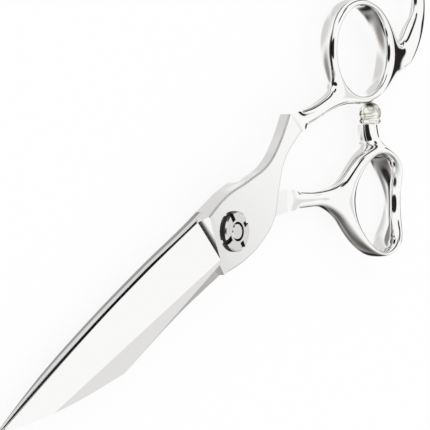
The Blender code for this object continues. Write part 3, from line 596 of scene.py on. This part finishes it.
def section(bm, center, across, up, width, depth):
    """Four cage corners of an oval section: right top, left top, left bottom, right bottom."""
    side = across.normalized() * (width / 2 / CAGE_SHARE)
    rise = up.normalized() * (depth / 2 / CAGE_SHARE)
    return [bm.verts.new(center + corner) for corner in (rise - side, rise + side, side - rise, -side - rise)]


def bridge(bm, first, second):
    for corner in range(4):
        after = (corner + 1) % 4
        bm.faces.new((first[corner], first[after], second[after], second[corner]))


def ring_cage(bm, center, hole, wall, depth, drop, lean, twist):
    """Cage of a finger ring: sections round an oval hole. Returns them, from the lean axis on."""
    turn = Matrix.Rotation(lean - math.pi / 2, 3, "Z") @ Matrix.Rotation(twist, 3, "Y")
    draw_in = 2 / 3 + math.cos(math.tau / RING_STATIONS) / 3
    up = turn @ Vector((0, 0, 1))
    sections = []
    for station in range(RING_STATIONS):
        angle = math.tau * (station + 0.5) / RING_STATIONS
        thickness = wall(angle)
        radial = turn @ heading_vector(angle)
        place = turn @ Vector(((hole[0] + thickness) / 2 * math.cos(angle),
                               (hole[1] + thickness) / 2 * math.sin(angle), 0.0))
        middle = center + place / draw_in - up * drop(angle)
        sections.append(section(bm, middle, -radial, up, thickness, depth(angle)))
    return sections


def close_ring(bm, sections, open_faces):
    """Join the sections of a ring, and leave its outer wall open after the stations in open_faces."""
    for station, first in enumerate(sections):
        second = sections[(station + 1) % RING_STATIONS]
        for corner in range(4):
            if corner == 3 and station in open_faces:
                continue
            after = (corner + 1) % 4
            bm.faces.new((first[corner], first[after], second[after], second[corner]))


def outer_face(sections, station):
    """Cage corners of the outer wall of a ring after a station, ready for a limb to grow from."""
    right = sections[station]
    left = sections[(station + 1) % RING_STATIONS]
    return [right[0], left[0], left[3], right[3]]


def limb(bm, start, stations, flat_end=None, round_end=False):
    """Grow a limb from four cage corners through sections of (center, heading, width, depth).

    A flat_end is one more section with sharp corners, to meet a flat tang. A round_end keeps
    the last section as a flat round face. Else the limb ends in a soft cap.
    """
    up = Vector((0, 0, 1))
    last = start
    for center, heading, width, depth in stations:
        after = section(bm, center, heading_vector(heading + math.pi / 2), up, width, depth)
        bridge(bm, last, after)
        last = after
    sharp = []
    if flat_end:
        center, heading, width, depth = flat_end
        across = heading_vector(heading + math.pi / 2)
        end = section(bm, center, across, up, width * CAGE_SHARE, depth * CAGE_SHARE)
        bridge(bm, last, end)
        sharp += list(zip(last, end))
        last = end
    bm.faces.new(last)
    if flat_end or round_end:
        sharp += list(zip(last, last[1:] + last[:1]))
    crease = bm.edges.layers.float.get("crease_edge") or bm.edges.layers.float.new("crease_edge")
    for ends in sharp:
        bm.edges.get(ends)[crease] = 1.0


def rise(x, y, z):
    """Point given in plan from the pivot and in height from the ride height."""
    return Vector((x, y, RIDE_HEIGHT + z))


def stations_of(table):
    """Sections of a limb from its table of sizes."""
    return [(rise(x, y, z), math.radians(turn), width, depth) for x, y, z, turn, width, depth in table]


def swell(angle, middle, spread):
    """Smooth bump of 0 to 1 round a ring, at its highest at the angle middle."""
    away = math.atan2(math.sin(angle - middle), math.cos(angle - middle))
    return math.cos(math.pi / 2 * away / spread) ** 2 if abs(away) < spread else 0.0


def finger_wall(angle):
    """Wall of the finger ring, which swells towards the finger rest."""
    return FINGER_RING_WALL + FINGER_REST_SWELL * swell(angle, FINGER_REST_ANGLE, FINGER_REST_SPREAD)


def finger_depth(angle):
    near, far = FINGER_RING_DEPTH
    return near + (far - near) * (1 + math.cos(angle)) / 2


def finger_drop(angle):
    """The finger ring lies flat."""
    return 0.0


def thumb_wall(angle):
    """Wall of the thumb ring, thicker in the crotch under the post and on the far side."""
    crotch = THUMB_CROTCH_SWELL * swell(angle, THUMB_CROTCH_ANGLE, THUMB_CROTCH_SPREAD)
    near = THUMB_NEAR_SWELL * swell(angle, math.pi, THUMB_NEAR_SPREAD)
    return THUMB_RING_WALL + crotch + near + THUMB_FAR_SWELL * swell(angle, 0.0, THUMB_FAR_SPREAD)


def thumb_web(angle):
    """Extra depth of the thumb ring under its post."""
    return THUMB_WEB_DEPTH * swell(angle, THUMB_WEB_ANGLE, THUMB_WEB_SPREAD)


def thumb_depth(angle):
    """Depth of the thumb ring, with a saddle between two horns on the far side."""
    plain, horn = THUMB_RING_DEPTH
    sides = (THUMB_SADDLE, -THUMB_SADDLE)
    horns = (horn - plain) * max(swell(angle, side, THUMB_HORN_SPREAD) for side in sides)
    return plain + horns + thumb_web(angle) + THUMB_NEAR_DEPTH * swell(angle, math.pi, THUMB_DROP_SPREAD)


def thumb_drop(angle):
    """How far the thumb ring dips on the side of its shank and under its post."""
    return thumb_web(angle) / 2 + THUMB_NEAR_DROP * swell(angle, math.pi, THUMB_DROP_SPREAD)


def cast_piece(name, bm, levels, material):
    """Smooth casting from a cage."""
    made = add_mesh(name, bm, (material,))
    subsurf = made.modifiers.new("Smooth", "SUBSURF")
    subsurf.levels = levels
    subsurf.render_levels = levels
    bake(made)
    made.data.shade_smooth()
    made.data.set_sharp_from_angle(angle=math.radians(50))
    return made


def bumper_base():
    """Foot of the bumper on its axis, so that its dome just clears the finger ring."""
    center = rise(*FINGER_RING_CENTER)
    ring_radius = FINGER_HOLE / 2 + finger_wall(BUMPER_CONTACT)
    dome = center + heading_vector(BUMPER_CONTACT) * (ring_radius + BUMPER_GAP + BUMPER_DIAMETER / 2)
    base = dome - heading_vector(BUMPER_HEADING) * (BUMPER_HEIGHT - BUMPER_DIAMETER / 2)
    base.z = RIDE_HEIGHT
    return base


def bumper_matrix():
    turn = heading_vector(BUMPER_HEADING).to_track_quat("Z", "X").to_matrix().to_4x4()
    return Matrix.Translation(bumper_base()) @ turn


class Finish:
    """Node-building shorthand for one Principled material."""

    def __init__(self, name, color, metallic, roughness):
        self.material = bpy.data.materials.new(name)
        self.material.use_nodes = True
        self.tree = self.material.node_tree
        self.shader = self.tree.nodes["Principled BSDF"]
        self.set(Metallic=metallic, Roughness=roughness)
        self.shader.inputs["Base Color"].default_value = (*color, 1.0)
        self.coordinates = self.add("ShaderNodeTexCoord").outputs["Object"]

    def set(self, **values):
        for name, value in values.items():
            self.shader.inputs[name.replace("_", " ")].default_value = value

    def add(self, kind, links=(), **settings):
        node = self.tree.nodes.new(kind)
        for name, value in settings.items():
            if name in node.inputs:
                node.inputs[name].default_value = value
            else:
                setattr(node, name, value)
        for name, source in dict(links).items():
            self.tree.links.new(source, node.inputs[name])
        return node

    def noise(self, scale, stretch=(1, 1, 1), detail=2.0):
        placed = self.add("ShaderNodeMapping", {"Vector": self.coordinates}, Scale=stretch)
        return self.add("ShaderNodeTexNoise", {"Vector": placed.outputs["Vector"]},
                        Scale=scale, Detail=detail).outputs["Fac"]

    def spread(self, source, low, high, socket=None):
        ranged = self.add("ShaderNodeMapRange", {"Value": source})
        ranged.inputs["From Min"].default_value = 0.3
        ranged.inputs["From Max"].default_value = 0.7
        ranged.inputs["To Min"].default_value = low
        ranged.inputs["To Max"].default_value = high
        if socket:
            self.tree.links.new(ranged.outputs["Result"], self.shader.inputs[socket])
        return ranged.outputs["Result"]

    def bump(self, heights):
        """Chain of bumps from (height source, strength, depth in metres)."""
        normal = None
        for source, strength, depth in heights:
            links = {"Height": source}
            if normal:
                links["Normal"] = normal
            node = self.add("ShaderNodeBump", links, Strength=strength, Distance=depth)
            normal = node.outputs["Normal"]
        self.tree.links.new(normal, self.shader.inputs["Normal"])


def polished_steel():
    settings = bpy.context.scene.shears_finish
    steel = Finish("polished_steel", settings.steel_color, 1.0, settings.steel_roughness)
    haze = steel.noise(160.0, detail=4.0)
    steel.spread(haze, settings.steel_roughness * 0.6, settings.steel_roughness * 1.5, "Roughness")
    scratches = steel.noise(900.0, (0.08, 1.0, 1.0), 3.0)
    waves = steel.noise(150.0, detail=1.0)
    steel.bump([(scratches, 0.03, 0.004 * MM), (waves, 0.10, 0.05 * MM)])
    return steel.material


def ground_steel():
    settings = bpy.context.scene.shears_finish
    steel = Finish("ground_steel", settings.steel_color, 1.0, settings.ground_roughness)
    haze = steel.noise(120.0, detail=4.0)
    steel.spread(haze, settings.ground_roughness * 0.8, settings.ground_roughness * 1.2, "Roughness")
    lines = steel.noise(1500.0, (1.0, 0.03, 1.0), 2.0)
    steel.bump([(lines, 0.02, 0.003 * MM)])
    return steel.material


def turned_steel():
    settings = bpy.context.scene.shears_finish
    steel = Finish("bright_steel", settings.nut_color, 1.0, 0.16)
    rings = steel.add("ShaderNodeTexWave", {"Vector": steel.coordinates}, wave_type="RINGS",
                      rings_direction="Z", Scale=1600.0, Distortion=0.6, Detail=2.0)
    steel.spread(rings.outputs["Fac"], 0.12, 0.2, "Roughness")
    steel.bump([(rings.outputs["Fac"], 0.08, 0.004 * MM)])
    return steel.material


def painted_land_shade():
    """Painted shade: a near-black land along a cutting edge, which stands in for the shadowed gap between the blades,
    fading paler towards the tip.
    """
    settings = bpy.context.scene.shears_finish
    steel = Finish("painted_land_shade", settings.land_shade_color, 0.0, 0.5)
    steel.set(Specular_IOR_Level=0.2)
    along = steel.add("ShaderNodeSeparateXYZ", {"Vector": steel.coordinates}).outputs["X"]
    paler = steel.add("ShaderNodeMapRange", {"Value": along}, interpolation_type="SMOOTHSTEP")
    paler.inputs["From Min"].default_value = -45.0 * MM
    paler.inputs["From Max"].default_value = -BLADE_REACH
    mixed = steel.add("ShaderNodeMix", {"Factor": paler.outputs["Result"]}, data_type="RGBA")
    mixed.inputs["A"].default_value = (*settings.land_shade_color, 1.0)
    mixed.inputs["B"].default_value = (*settings.spine_shade_color, 1.0)
    steel.tree.links.new(mixed.outputs["Result"], steel.shader.inputs["Base Color"])
    steel.spread(steel.noise(1500.0, (1.0, 0.1, 0.1), 3.0), 0.4, 0.6, "Roughness")
    return steel.material


def painted_spine_bands():
    """Brushed spine of the rear blade in painted shade and highlights: a dark band below, with a bright band and a fine
    line above, which stand in for the light and shade on a rounded spine.
    """
    settings = bpy.context.scene.shears_finish
    steel = Finish("painted_spine_bands", settings.spine_shade_color, 1.0, 0.3)
    place = steel.add("ShaderNodeSeparateXYZ", {"Vector": steel.coordinates}).outputs
    tapered = steel.add("ShaderNodeMapRange", {"Value": place["X"]})
    tapered.inputs["From Min"].default_value = TAPER_LEAD - HEEL
    tapered.inputs["From Max"].default_value = -BLADE_REACH
    tapered.inputs["To Min"].default_value = REAR_FLOOR
    tapered.inputs["To Max"].default_value = REAR_FLOOR + (BLADE_REACH + TAPER_LEAD - HEEL) * math.tan(TAPER_SLOPE)
    share = steel.add("ShaderNodeMapRange", {"Value": place["Z"], "From Min": tapered.outputs["Result"]})
    share.inputs["From Max"].default_value = REAR_TOP
    bands = steel.add("ShaderNodeValToRGB", {"Fac": share.outputs["Result"]})
    stops = bands.color_ramp.elements
    spine_shading, bright = Vector(settings.spine_shade_color), Vector(settings.steel_color)
    stops[0].color = (*spine_shading, 1.0)
    stops[1].color = (*bright, 1.0)
    for at, lit_share in SPINE_SHADE_BANDS:
        stops.new(at).color = (*spine_shading.lerp(bright, lit_share), 1.0)
    steel.tree.links.new(bands.outputs["Color"], steel.shader.inputs["Base Color"])
    brushed = steel.noise(2500.0, (0.02, 1.0, 1.0), 3.0)
    steel.spread(brushed, 0.25, 0.4, "Roughness")
    steel.bump([(brushed, 0.1, 0.01 * MM)])
    return steel.material


def painted_rim_shade():
    """Satin rounding along the rim of the front plate, in a darker grey that is painted shade along the plate's edge.
    """
    settings = bpy.context.scene.shears_finish
    steel = Finish("painted_rim_shade", settings.rim_color, 1.0, 0.3)
    brushed = steel.noise(2500.0, detail=3.0)
    steel.spread(brushed, 0.25, 0.4, "Roughness")
    steel.bump([(brushed, 0.1, 0.01 * MM)])
    return steel.material


# Near-black finish that is painted shade: in the key slots, on the nut's upper wall, on the axle's stud and on the
# post's top under the bumper.
def painted_shade_black():
    settings = bpy.context.scene.shears_finish
    black = Finish("painted_shade_black", settings.shade_black_color, 0.0, 0.55)
    grain = black.noise(2500.0, detail=3.0)
    black.spread(grain, 0.4, 0.7, "Roughness")
    black.bump([(grain, 0.2, 0.02 * MM)])
    return black.material


def clear_silicone():
    settings = bpy.context.scene.shears_finish
    silicone = Finish("clear_silicone", settings.silicone_color, 0.0, 0.05)
    silicone.set(Transmission_Weight=1.0, IOR=1.41)
    grain = silicone.noise(500.0, detail=3.0)
    silicone.spread(grain, 0.02, 0.08, "Roughness")
    # Painted reflection: narrow dark swirls in the colour stand in for the dark surroundings seen through the bumper.
    swirl = silicone.noise(330.0, (1.0, 1.0, 0.7), 1.5)
    dark_swirls = silicone.add("ShaderNodeValToRGB", {"Fac": swirl})
    stops = dark_swirls.color_ramp.elements
    stops[0].color = stops[1].color = (*settings.silicone_color, 1.0)
    for at in (0.44, 0.56):
        stops.new(at).color = (*settings.silicone_color, 1.0)
    stops.new(0.5).color = (*settings.swirl_reflection_color, 1.0)
    silicone.tree.links.new(dark_swirls.outputs["Color"], silicone.shader.inputs["Base Color"])
    silicone.bump([(swirl, 0.8, 0.5 * MM)])
    return silicone.material


class SHEARS_OT_blades(bpy.types.Operator):
    """Build the two ground blades with their plates and tangs"""

    bl_idname = "shears.blades"
    bl_label = "Blades"

    def execute(self, context):
        shape = context.scene.shears_shape
        steel = ground_steel()
        through = FRONT_TOP + GRIND_ROOM
        recess = (RIDE_WASHER_DIAMETER + 2 * FIT_GAP, RIDE_HEIGHT - RIDE_RECESS, RIDE_HEIGHT + RIDE_RECESS)

        front = flat_blank("finger_blade_ground", front_outline(), FRONT_FLOOR, FRONT_PLATE, shape.outline_steps)
        weld = Vector(FRONT_WELD)
        round_rim(front, RIM_ROUND, lambda middle: (middle.z > FRONT_FLOOR + RIM_ROUND and middle.x > RIM_END
                                                    and (middle.xy - weld).length > FRONT_WELD_WIDTH / 4))
        cut(front, [*grinding_tools(1, FRONT_FLOOR, FRONT_TOP, FRONT_HEEL_WIDTH, SPINE_HALF_WIDTH), chamfer_tool()])
        cut(front, [round_bar("counterbore", NUT_DIAMETER + 2 * NUT_GAP, COUNTERBORE_FLOOR, through, shape.round_steps),
                    round_bar("bush_bore", BUSH_DIAMETER + 2 * FIT_GAP, -through, through, shape.round_steps),
                    round_bar("recess", *recess, shape.round_steps)])
        rear = flat_blank("thumb_blade_ground", rear_outline(), REAR_FLOOR, REAR_PLATE, shape.outline_steps)
        cut(rear, grinding_tools(-1, REAR_TOP, REAR_FLOOR, REAR_HEEL_WIDTH, REAR_SPINE_WIDTH))
        square = AXLE_SQUARE + 2 * FIT_GAP
        cut(rear, [round_bar("recess", *recess, shape.round_steps),
                   block("square_hole", (square, square, 4 * GRIND_ROOM), Matrix.Identity(4))])
        edge_land_shade = painted_land_shade()
        spine_shading = painted_spine_bands()
        rim = painted_rim_shade()

        def on_land(center, normal):
            height = abs(center.z - RIDE_HEIGHT) - RIDE_GAP / 2
            outward = center.y * (center.z - RIDE_HEIGHT)
            return abs(normal.z) < 0.2 and height < EDGE_THICKNESS and outward > 0 and center.x < -HEEL

        def on_spine(center, normal):
            return normal.y > 0.7 and center.z < RIDE_HEIGHT and center.x < -HEEL / 2

        def on_rim(center, normal):
            return 0.1 < normal.z < 0.99 and center.z > FRONT_TOP - RIM_ROUND and center.x > RIM_END

        for made, node, body in ((front, "finger_blade", "finger_side"), (rear, "thumb_blade", "thumb_side")):
            made.data.materials.clear()
            made.data.materials.append(steel)
            # Painted shade: the land along each cutting edge is near black.
            finish_faces(made, edge_land_shade, on_land)
            # Painted shade and highlights: the rear spine is banded dark and bright.
            finish_faces(made, spine_shading, on_spine)
            # Painted shade: the rounded rim of the front plate is a darker grey.
            finish_faces(made, rim, on_rim)
            soften_edges(made, shape.edge_round)
            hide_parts(node)
            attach(made, body)
        return {"FINISHED"}


class SHEARS_OT_handles(bpy.types.Operator):
    """Build the two cast handles with their rings"""

    bl_idname = "shears.handles"
    bl_label = "Handles"

    def execute(self, context):
        levels = context.scene.shears_shape.smooth_levels
        steel = polished_steel()
        bm = bmesh.new()
        ring = ring_cage(bm, rise(*FINGER_RING_CENTER), (FINGER_HOLE, FINGER_HOLE), finger_wall,
                         finger_depth, finger_drop, math.pi / 2, FINGER_RING_TWIST)
        for station, corner in enumerate(ring):
            angle = math.tau * (station + 0.5) / RING_STATIONS
            corner[0].co.z -= FINGER_REST_DISH * swell(angle, FINGER_REST_ANGLE, FINGER_REST_SPREAD)
        close_ring(bm, ring, (FINGER_SHANK_STATION, FINGER_REST_STATION))
        crease = bm.edges.layers.float.new("crease_edge")
        for first, second in zip(ring, ring[1:] + ring[:1]):
            bm.edges.get((first[1], second[1]))[crease] = FINGER_RIM_CREASE
        back = FRONT_WELD_HEADING + math.pi
        weld = Vector((*FRONT_WELD, FRONT_FLOOR + FRONT_PLATE / 2))
        limb(bm, outer_face(ring, FINGER_SHANK_STATION), stations_of(FINGER_SHANK),
             (weld, back, FRONT_WELD_WIDTH, FRONT_PLATE))
        limb(bm, outer_face(ring, FINGER_REST_STATION), stations_of(FINGER_REST))
        finger = cast_piece("finger_handle_cast", bm, levels, steel)

        bm = bmesh.new()
        ring = ring_cage(bm, rise(*THUMB_RING_CENTER), THUMB_HOLE, thumb_wall, thumb_depth,
                         thumb_drop, THUMB_RING_LEAN, THUMB_RING_TWIST)
        close_ring(bm, ring, (THUMB_SHANK_STATION, THUMB_POST_STATION))
        back = REAR_WELD_HEADING + math.pi
        weld = Vector((*REAR_WELD, REAR_FLOOR + REAR_PLATE / 2))
        limb(bm, outer_face(ring, THUMB_SHANK_STATION), stations_of(THUMB_SHANK),
             (weld, back, REAR_WELD_WIDTH, REAR_PLATE))
        up_post = heading_vector(BUMPER_HEADING)
        post_top = bumper_base() - up_post * FIT_GAP
        post = [(post_top - up_post * below - Vector((0, 0, drop)), BUMPER_HEADING, width, depth)
                for below, drop, width, depth in POST]
        limb(bm, outer_face(ring, THUMB_POST_STATION), post, round_end=True)
        thumb = cast_piece("thumb_handle_cast", bm, levels, steel)
        # Painted shade: the post's top under the bumper is black, and shows through the clear silicone.
        finish_faces(thumb, painted_shade_black(), lambda center, normal: (center - post_top).dot(up_post) > -0.01 * MM)
        for made, node, body in ((finger, "finger_handle", "finger_side"), (thumb, "thumb_handle", "thumb_side")):
            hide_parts(node)
            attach(made, body)
        return {"FINISHED"}


class SHEARS_OT_pivot(bpy.types.Operator):
    """Build the slotted tension nut and the axle"""

    bl_idname = "shears.pivot"
    bl_label = "Pivot"

    def execute(self, context):
        shape = context.scene.shears_shape
        bright = turned_steel()
        rim = NUT_DIAMETER / 2
        bore = BUSH_BORE / 2
        nut = turned("tension_nut_turned", [(bore, NUT_TOP), (rim - NUT_CHAMFER, NUT_TOP), (rim, NUT_TOP - NUT_CHAMFER),
                                            (rim, NUT_SHADE_LINE), (rim, NUT_FLOOR), (bore, NUT_FLOOR)], shape.round_steps, (bright,))
        slot_size = (NUT_DIAMETER, KEY_SLOT_WIDTH, 2 * KEY_SLOT_DEPTH)
        place = Matrix.Translation((bore + KEY_SLOT_WALL + NUT_DIAMETER / 2, 0, NUT_TOP))
        # The key slots' faces take the painted shade black.
        black = painted_shade_black()
        nut.data.materials.append(black)
        for number in range(KEY_SLOTS):
            turn = Matrix.Rotation(KEY_SLOT_TURN + number * math.tau / KEY_SLOTS, 4, "Z")
            slot = block("key_slot", slot_size, turn @ place)
            slot.data.materials.append(bright)
            slot.data.materials.append(black)
            for face in slot.data.polygons:
                face.material_index = 1
            cut(nut, [slot])
        # Painted shade: the nut's wall above this line is black, standing in for the shadowed gap round the nut.
        finish_faces(nut, black, lambda center, normal: abs(normal.z) < 0.2 and center.z > NUT_SHADE_LINE)
        soften_edges(nut, shape.edge_round)
        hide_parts("tension_nut")
        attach(nut, "nut")

        head = AXLE_HEAD_DIAMETER / 2
        stud = STUD_DIAMETER / 2
        neck = AXLE_SQUARE * math.sqrt(0.5)
        axle = turned("pivot_axle_turned", [(0.0, STUD_TOP), (stud - NUT_CHAMFER, STUD_TOP), (stud, STUD_TOP - NUT_CHAMFER),
                                            (stud, REAR_TOP), (neck, REAR_TOP - SEAT_GAP),
                                            (neck, REAR_FLOOR - SEAT_GAP), (head, REAR_FLOOR - SEAT_GAP),
                                            (head, NUT_CHAMFER), (head - NUT_CHAMFER, 0.0), (0.0, 0.0)],
                      shape.round_steps, (bright,))
        # Painted shade: the stud's wall above the nut's floor is black, inside the nut's bore.
        finish_faces(axle, black, lambda center, normal: abs(normal.z) < 0.2 and center.z > NUT_FLOOR)
        soften_edges(axle, shape.edge_round)
        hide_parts("pivot_axle")
        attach(axle, "thumb_side")
        return {"FINISHED"}


class SHEARS_OT_bumper(bpy.types.Operator):
    """Build the clear silicone bumper"""

    bl_idname = "shears.bumper"
    bl_label = "Bumper"

    def execute(self, context):
        steps = 24
        radius = BUMPER_DIAMETER / 2
        shoulder = BUMPER_HEIGHT - radius
        dome = [(radius * math.sin(math.pi / 2 * part / steps), shoulder + radius * math.cos(math.pi / 2 * part / steps))
                for part in range(steps + 1)]
        top, middle, bottom = (shoulder * share for share in BUMPER_GROOVE_SPAN)
        groove = [(radius, top), (radius - BUMPER_GROOVE, middle), (radius, bottom)]
        stem = BUMPER_STEM_DIAMETER / 2
        foot = [(radius - BUMPER_GROOVE, 0.0), (stem, 0.0), (stem, -BUMPER_STEM_LENGTH), (0.0, -BUMPER_STEM_LENGTH)]
        bumper = turned("bumper_moulded", dome + groove + foot, 64, (clear_silicone(),))
        bumper.matrix_world = bumper_matrix()
        soften_edges(bumper, 0.12 * MM, segments=3)
        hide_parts("bumper")
        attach(bumper, "thumb_side")
        return {"FINISHED"}


class SHEARS_OT_inner(bpy.types.Operator):
    """Finish the hidden pieces of the pivot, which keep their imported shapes"""

    bl_idname = "shears.inner"
    bl_label = "Inner pieces"

    def execute(self, context):
        spring = Finish("spring_steel", (0.55, 0.55, 0.56), 1.0, 0.3)
        spring.spread(spring.noise(900.0, detail=3.0), 0.24, 0.4, "Roughness")
        bronze = Finish("bush_bronze", (0.62, 0.42, 0.20), 1.0, 0.35)
        bronze.spread(bronze.noise(1800.0, detail=3.0), 0.28, 0.45, "Roughness")
        nylon = Finish("white_nylon", (0.90, 0.90, 0.88), 0.0, 0.45)
        nylon.spread(nylon.noise(1200.0, detail=3.0), 0.38, 0.55, "Roughness")
        finishes = {"thrust_washer": spring, "disc_spring": spring, "pivot_bush": bronze, "ride_washer": nylon}
        for node, finish in finishes.items():
            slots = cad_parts[node].data.materials
            slots.clear()
            slots.append(finish.material)
        return {"FINISHED"}


def aim_camera(scene):
    """Camera at the picture's viewing angle."""
    stage = scene.shears_stage
    tilt_cos, tilt_sin = math.cos(stage.camera_tilt), math.sin(stage.camera_tilt)
    turn_cos, turn_sin = math.cos(stage.camera_turn), math.sin(stage.camera_turn)
    right = Vector((turn_cos * tilt_cos, -turn_sin * tilt_cos, tilt_sin))
    up = Vector((turn_sin, turn_cos, 0.0))
    towards = right.cross(up)
    data = bpy.data.cameras.new("camera")
    data.lens = stage.camera_lens
    data.sensor_width = 36.0
    data.clip_start = 0.01
    camera = bpy.data.objects.new("camera", data)
    scene.collection.objects.link(camera)
    focal = stage.camera_lens / data.sensor_width * PICTURE_SIDE
    shift_right = (PIVOT_IN_PICTURE[0] - PICTURE_SIDE / 2) / focal * stage.camera_distance
    shift_down = (PIVOT_IN_PICTURE[1] - PICTURE_SIDE / 2) / focal * stage.camera_distance
    place = Vector((0, 0, FRONT_TOP)) - right * shift_right + up * shift_down + towards * stage.camera_distance
    camera.matrix_world = Matrix.Translation(place) @ Matrix((right, up, towards)).transposed().to_4x4()
    scene.camera = camera


def light_studio(scene):
    """White studio. What the metal and the silicone show of it has soft dark flags and bright lights."""
    world = bpy.data.worlds.new("studio")
    scene.world = world
    world.use_nodes = True
    tree = world.node_tree
    around = tree.nodes.new("ShaderNodeTexCoord").outputs["Generated"]
    color = None
    for azimuth, elevation, tilt, width, height, fade, tone in FLAGS:
        azimuth, elevation, tilt = (math.radians(angle) for angle in (azimuth, elevation, tilt))
        level = heading_vector(azimuth + math.pi / 2)
        away = heading_vector(azimuth) * math.cos(elevation) + Vector((0, 0, math.sin(elevation)))
        across = Matrix.Rotation(tilt, 3, away) @ level
        turn = Matrix((away, across, away.cross(across))).transposed()
        placed = tree.nodes.new("ShaderNodeMapping")
        placed.vector_type = "TEXTURE"
        placed.inputs["Location"].default_value = away
        placed.inputs["Rotation"].default_value = turn.to_euler()
        placed.inputs["Scale"].default_value = (1.0, width, height)
        tree.links.new(around, placed.inputs["Vector"])
        blob = tree.nodes.new("ShaderNodeTexGradient")
        blob.gradient_type = "SPHERICAL"
        tree.links.new(placed.outputs["Vector"], blob.inputs["Vector"])
        soft = tree.nodes.new("ShaderNodeMapRange")
        soft.interpolation_type = "SMOOTHSTEP"
        soft.inputs["From Max"].default_value = fade
        tree.links.new(blob.outputs["Fac"], soft.inputs["Value"])
        shade = tree.nodes.new("ShaderNodeMix")
        shade.data_type = "RGBA"
        shade.blend_type = "MULTIPLY"
        shade.inputs["A"].default_value = (*[scene.shears_stage.surround] * 3, 1.0)
        shade.inputs["B"].default_value = (*[tone ** warmth for warmth in FLAG_WARMTH], 1.0)
        tree.links.new(soft.outputs["Result"], shade.inputs["Factor"])
        if color:
            tree.links.new(color, shade.inputs["A"])
        color = shade.outputs["Result"]
    rays = tree.nodes.new("ShaderNodeLightPath").outputs
    shown = tree.nodes.new("ShaderNodeMath")
    shown.operation = "MAXIMUM"
    tree.links.new(rays["Is Glossy Ray"], shown.inputs[0])
    tree.links.new(rays["Is Transmission Ray"], shown.inputs[1])
    seen = tree.nodes.new("ShaderNodeMix")
    seen.data_type = "RGBA"
    seen.inputs["A"].default_value = (1, 1, 1, 1)
    tree.links.new(shown.outputs["Value"], seen.inputs["Factor"])
    tree.links.new(color, seen.inputs["B"])
    tree.links.new(seen.outputs["Result"], tree.nodes["Background"].inputs["Color"])


def lay_floor(scene):
    """Plain white floor that the shears lie on, with a faint shadow."""
    stage = scene.shears_stage
    bm = bmesh.new()
    bmesh.ops.create_grid(bm, x_segments=1, y_segments=1, size=FLOOR_HALF_SIZE,
                          matrix=Matrix.Translation((0, 0, CAD_BOX[0][2] - FLOOR_GAP)))
    white = bpy.data.materials.new("floor_white")
    white.use_nodes = True
    tree = white.node_tree
    tree.nodes.remove(tree.nodes["Principled BSDF"])
    matt = tree.nodes.new("ShaderNodeBsdfDiffuse")
    matt.inputs["Color"].default_value = (*stage.floor_color, 1.0)
    glow = tree.nodes.new("ShaderNodeEmission")
    glow.inputs["Color"].default_value = (1, 1, 1, 1)
    share = tree.nodes.new("ShaderNodeMath")
    share.operation = "MULTIPLY"
    share.inputs[1].default_value = stage.floor_glow
    both = tree.nodes.new("ShaderNodeMixShader")
    tree.links.new(tree.nodes.new("ShaderNodeLightPath").outputs["Is Camera Ray"], share.inputs[0])
    tree.links.new(share.outputs["Value"], both.inputs["Fac"])
    tree.links.new(matt.outputs["BSDF"], both.inputs[1])
    tree.links.new(glow.outputs["Emission"], both.inputs[2])
    tree.links.new(both.outputs["Shader"], tree.nodes["Material Output"].inputs["Surface"])
    floor = add_mesh("floor", bm, (white,))
    floor.visible_glossy = False
    floor.visible_transmission = False


class SHEARS_OT_stage(bpy.types.Operator):
    """Build the camera, floor and surroundings"""

    bl_idname = "shears.stage"
    bl_label = "Stage"

    def execute(self, context):
        scene = context.scene
        scene.view_settings.view_transform = "Standard"
        aim_camera(scene)
        light_studio(scene)
        lay_floor(scene)
        return {"FINISHED"}


class SHEARS_PT_panel(bpy.types.Panel):
    """Lists the steps that build the shears"""

    bl_idname = "SHEARS_PT_panel"
    bl_label = "Shears"
    bl_space_type = "VIEW_3D"
    bl_region_type = "UI"
    bl_category = "Shears"

    def draw(self, context):
        for settings in (context.scene.shears_shape, context.scene.shears_finish, context.scene.shears_stage):
            box = self.layout.box()
            for name in settings.__annotations__:
                box.prop(settings, name)
        for step in STEPS:
            self.layout.operator(step.bl_idname)


SETTINGS = {"shears_shape": ShapeSettings, "shears_finish": FinishSettings, "shears_stage": StageSettings}
STEPS = (SHEARS_OT_stage, SHEARS_OT_blades, SHEARS_OT_handles, SHEARS_OT_pivot, SHEARS_OT_bumper, SHEARS_OT_inner)


def register():
    for kind in (*SETTINGS.values(), *STEPS, SHEARS_PT_panel):
        bpy.utils.register_class(kind)
    for name, kind in SETTINGS.items():
        setattr(bpy.types.Scene, name, PointerProperty(type=kind))


def unregister():
    for name in SETTINGS:
        delattr(bpy.types.Scene, name)
    for kind in (SHEARS_PT_panel, *reversed(STEPS), *SETTINGS.values()):
        bpy.utils.unregister_class(kind)


def main():
    register()
    bpy.ops.shears.stage()
    bpy.ops.shears.blades()
    bpy.ops.shears.handles()
    bpy.ops.shears.pivot()
    bpy.ops.shears.bumper()
    bpy.ops.shears.inner()


if __name__ == "__main__":
    main()
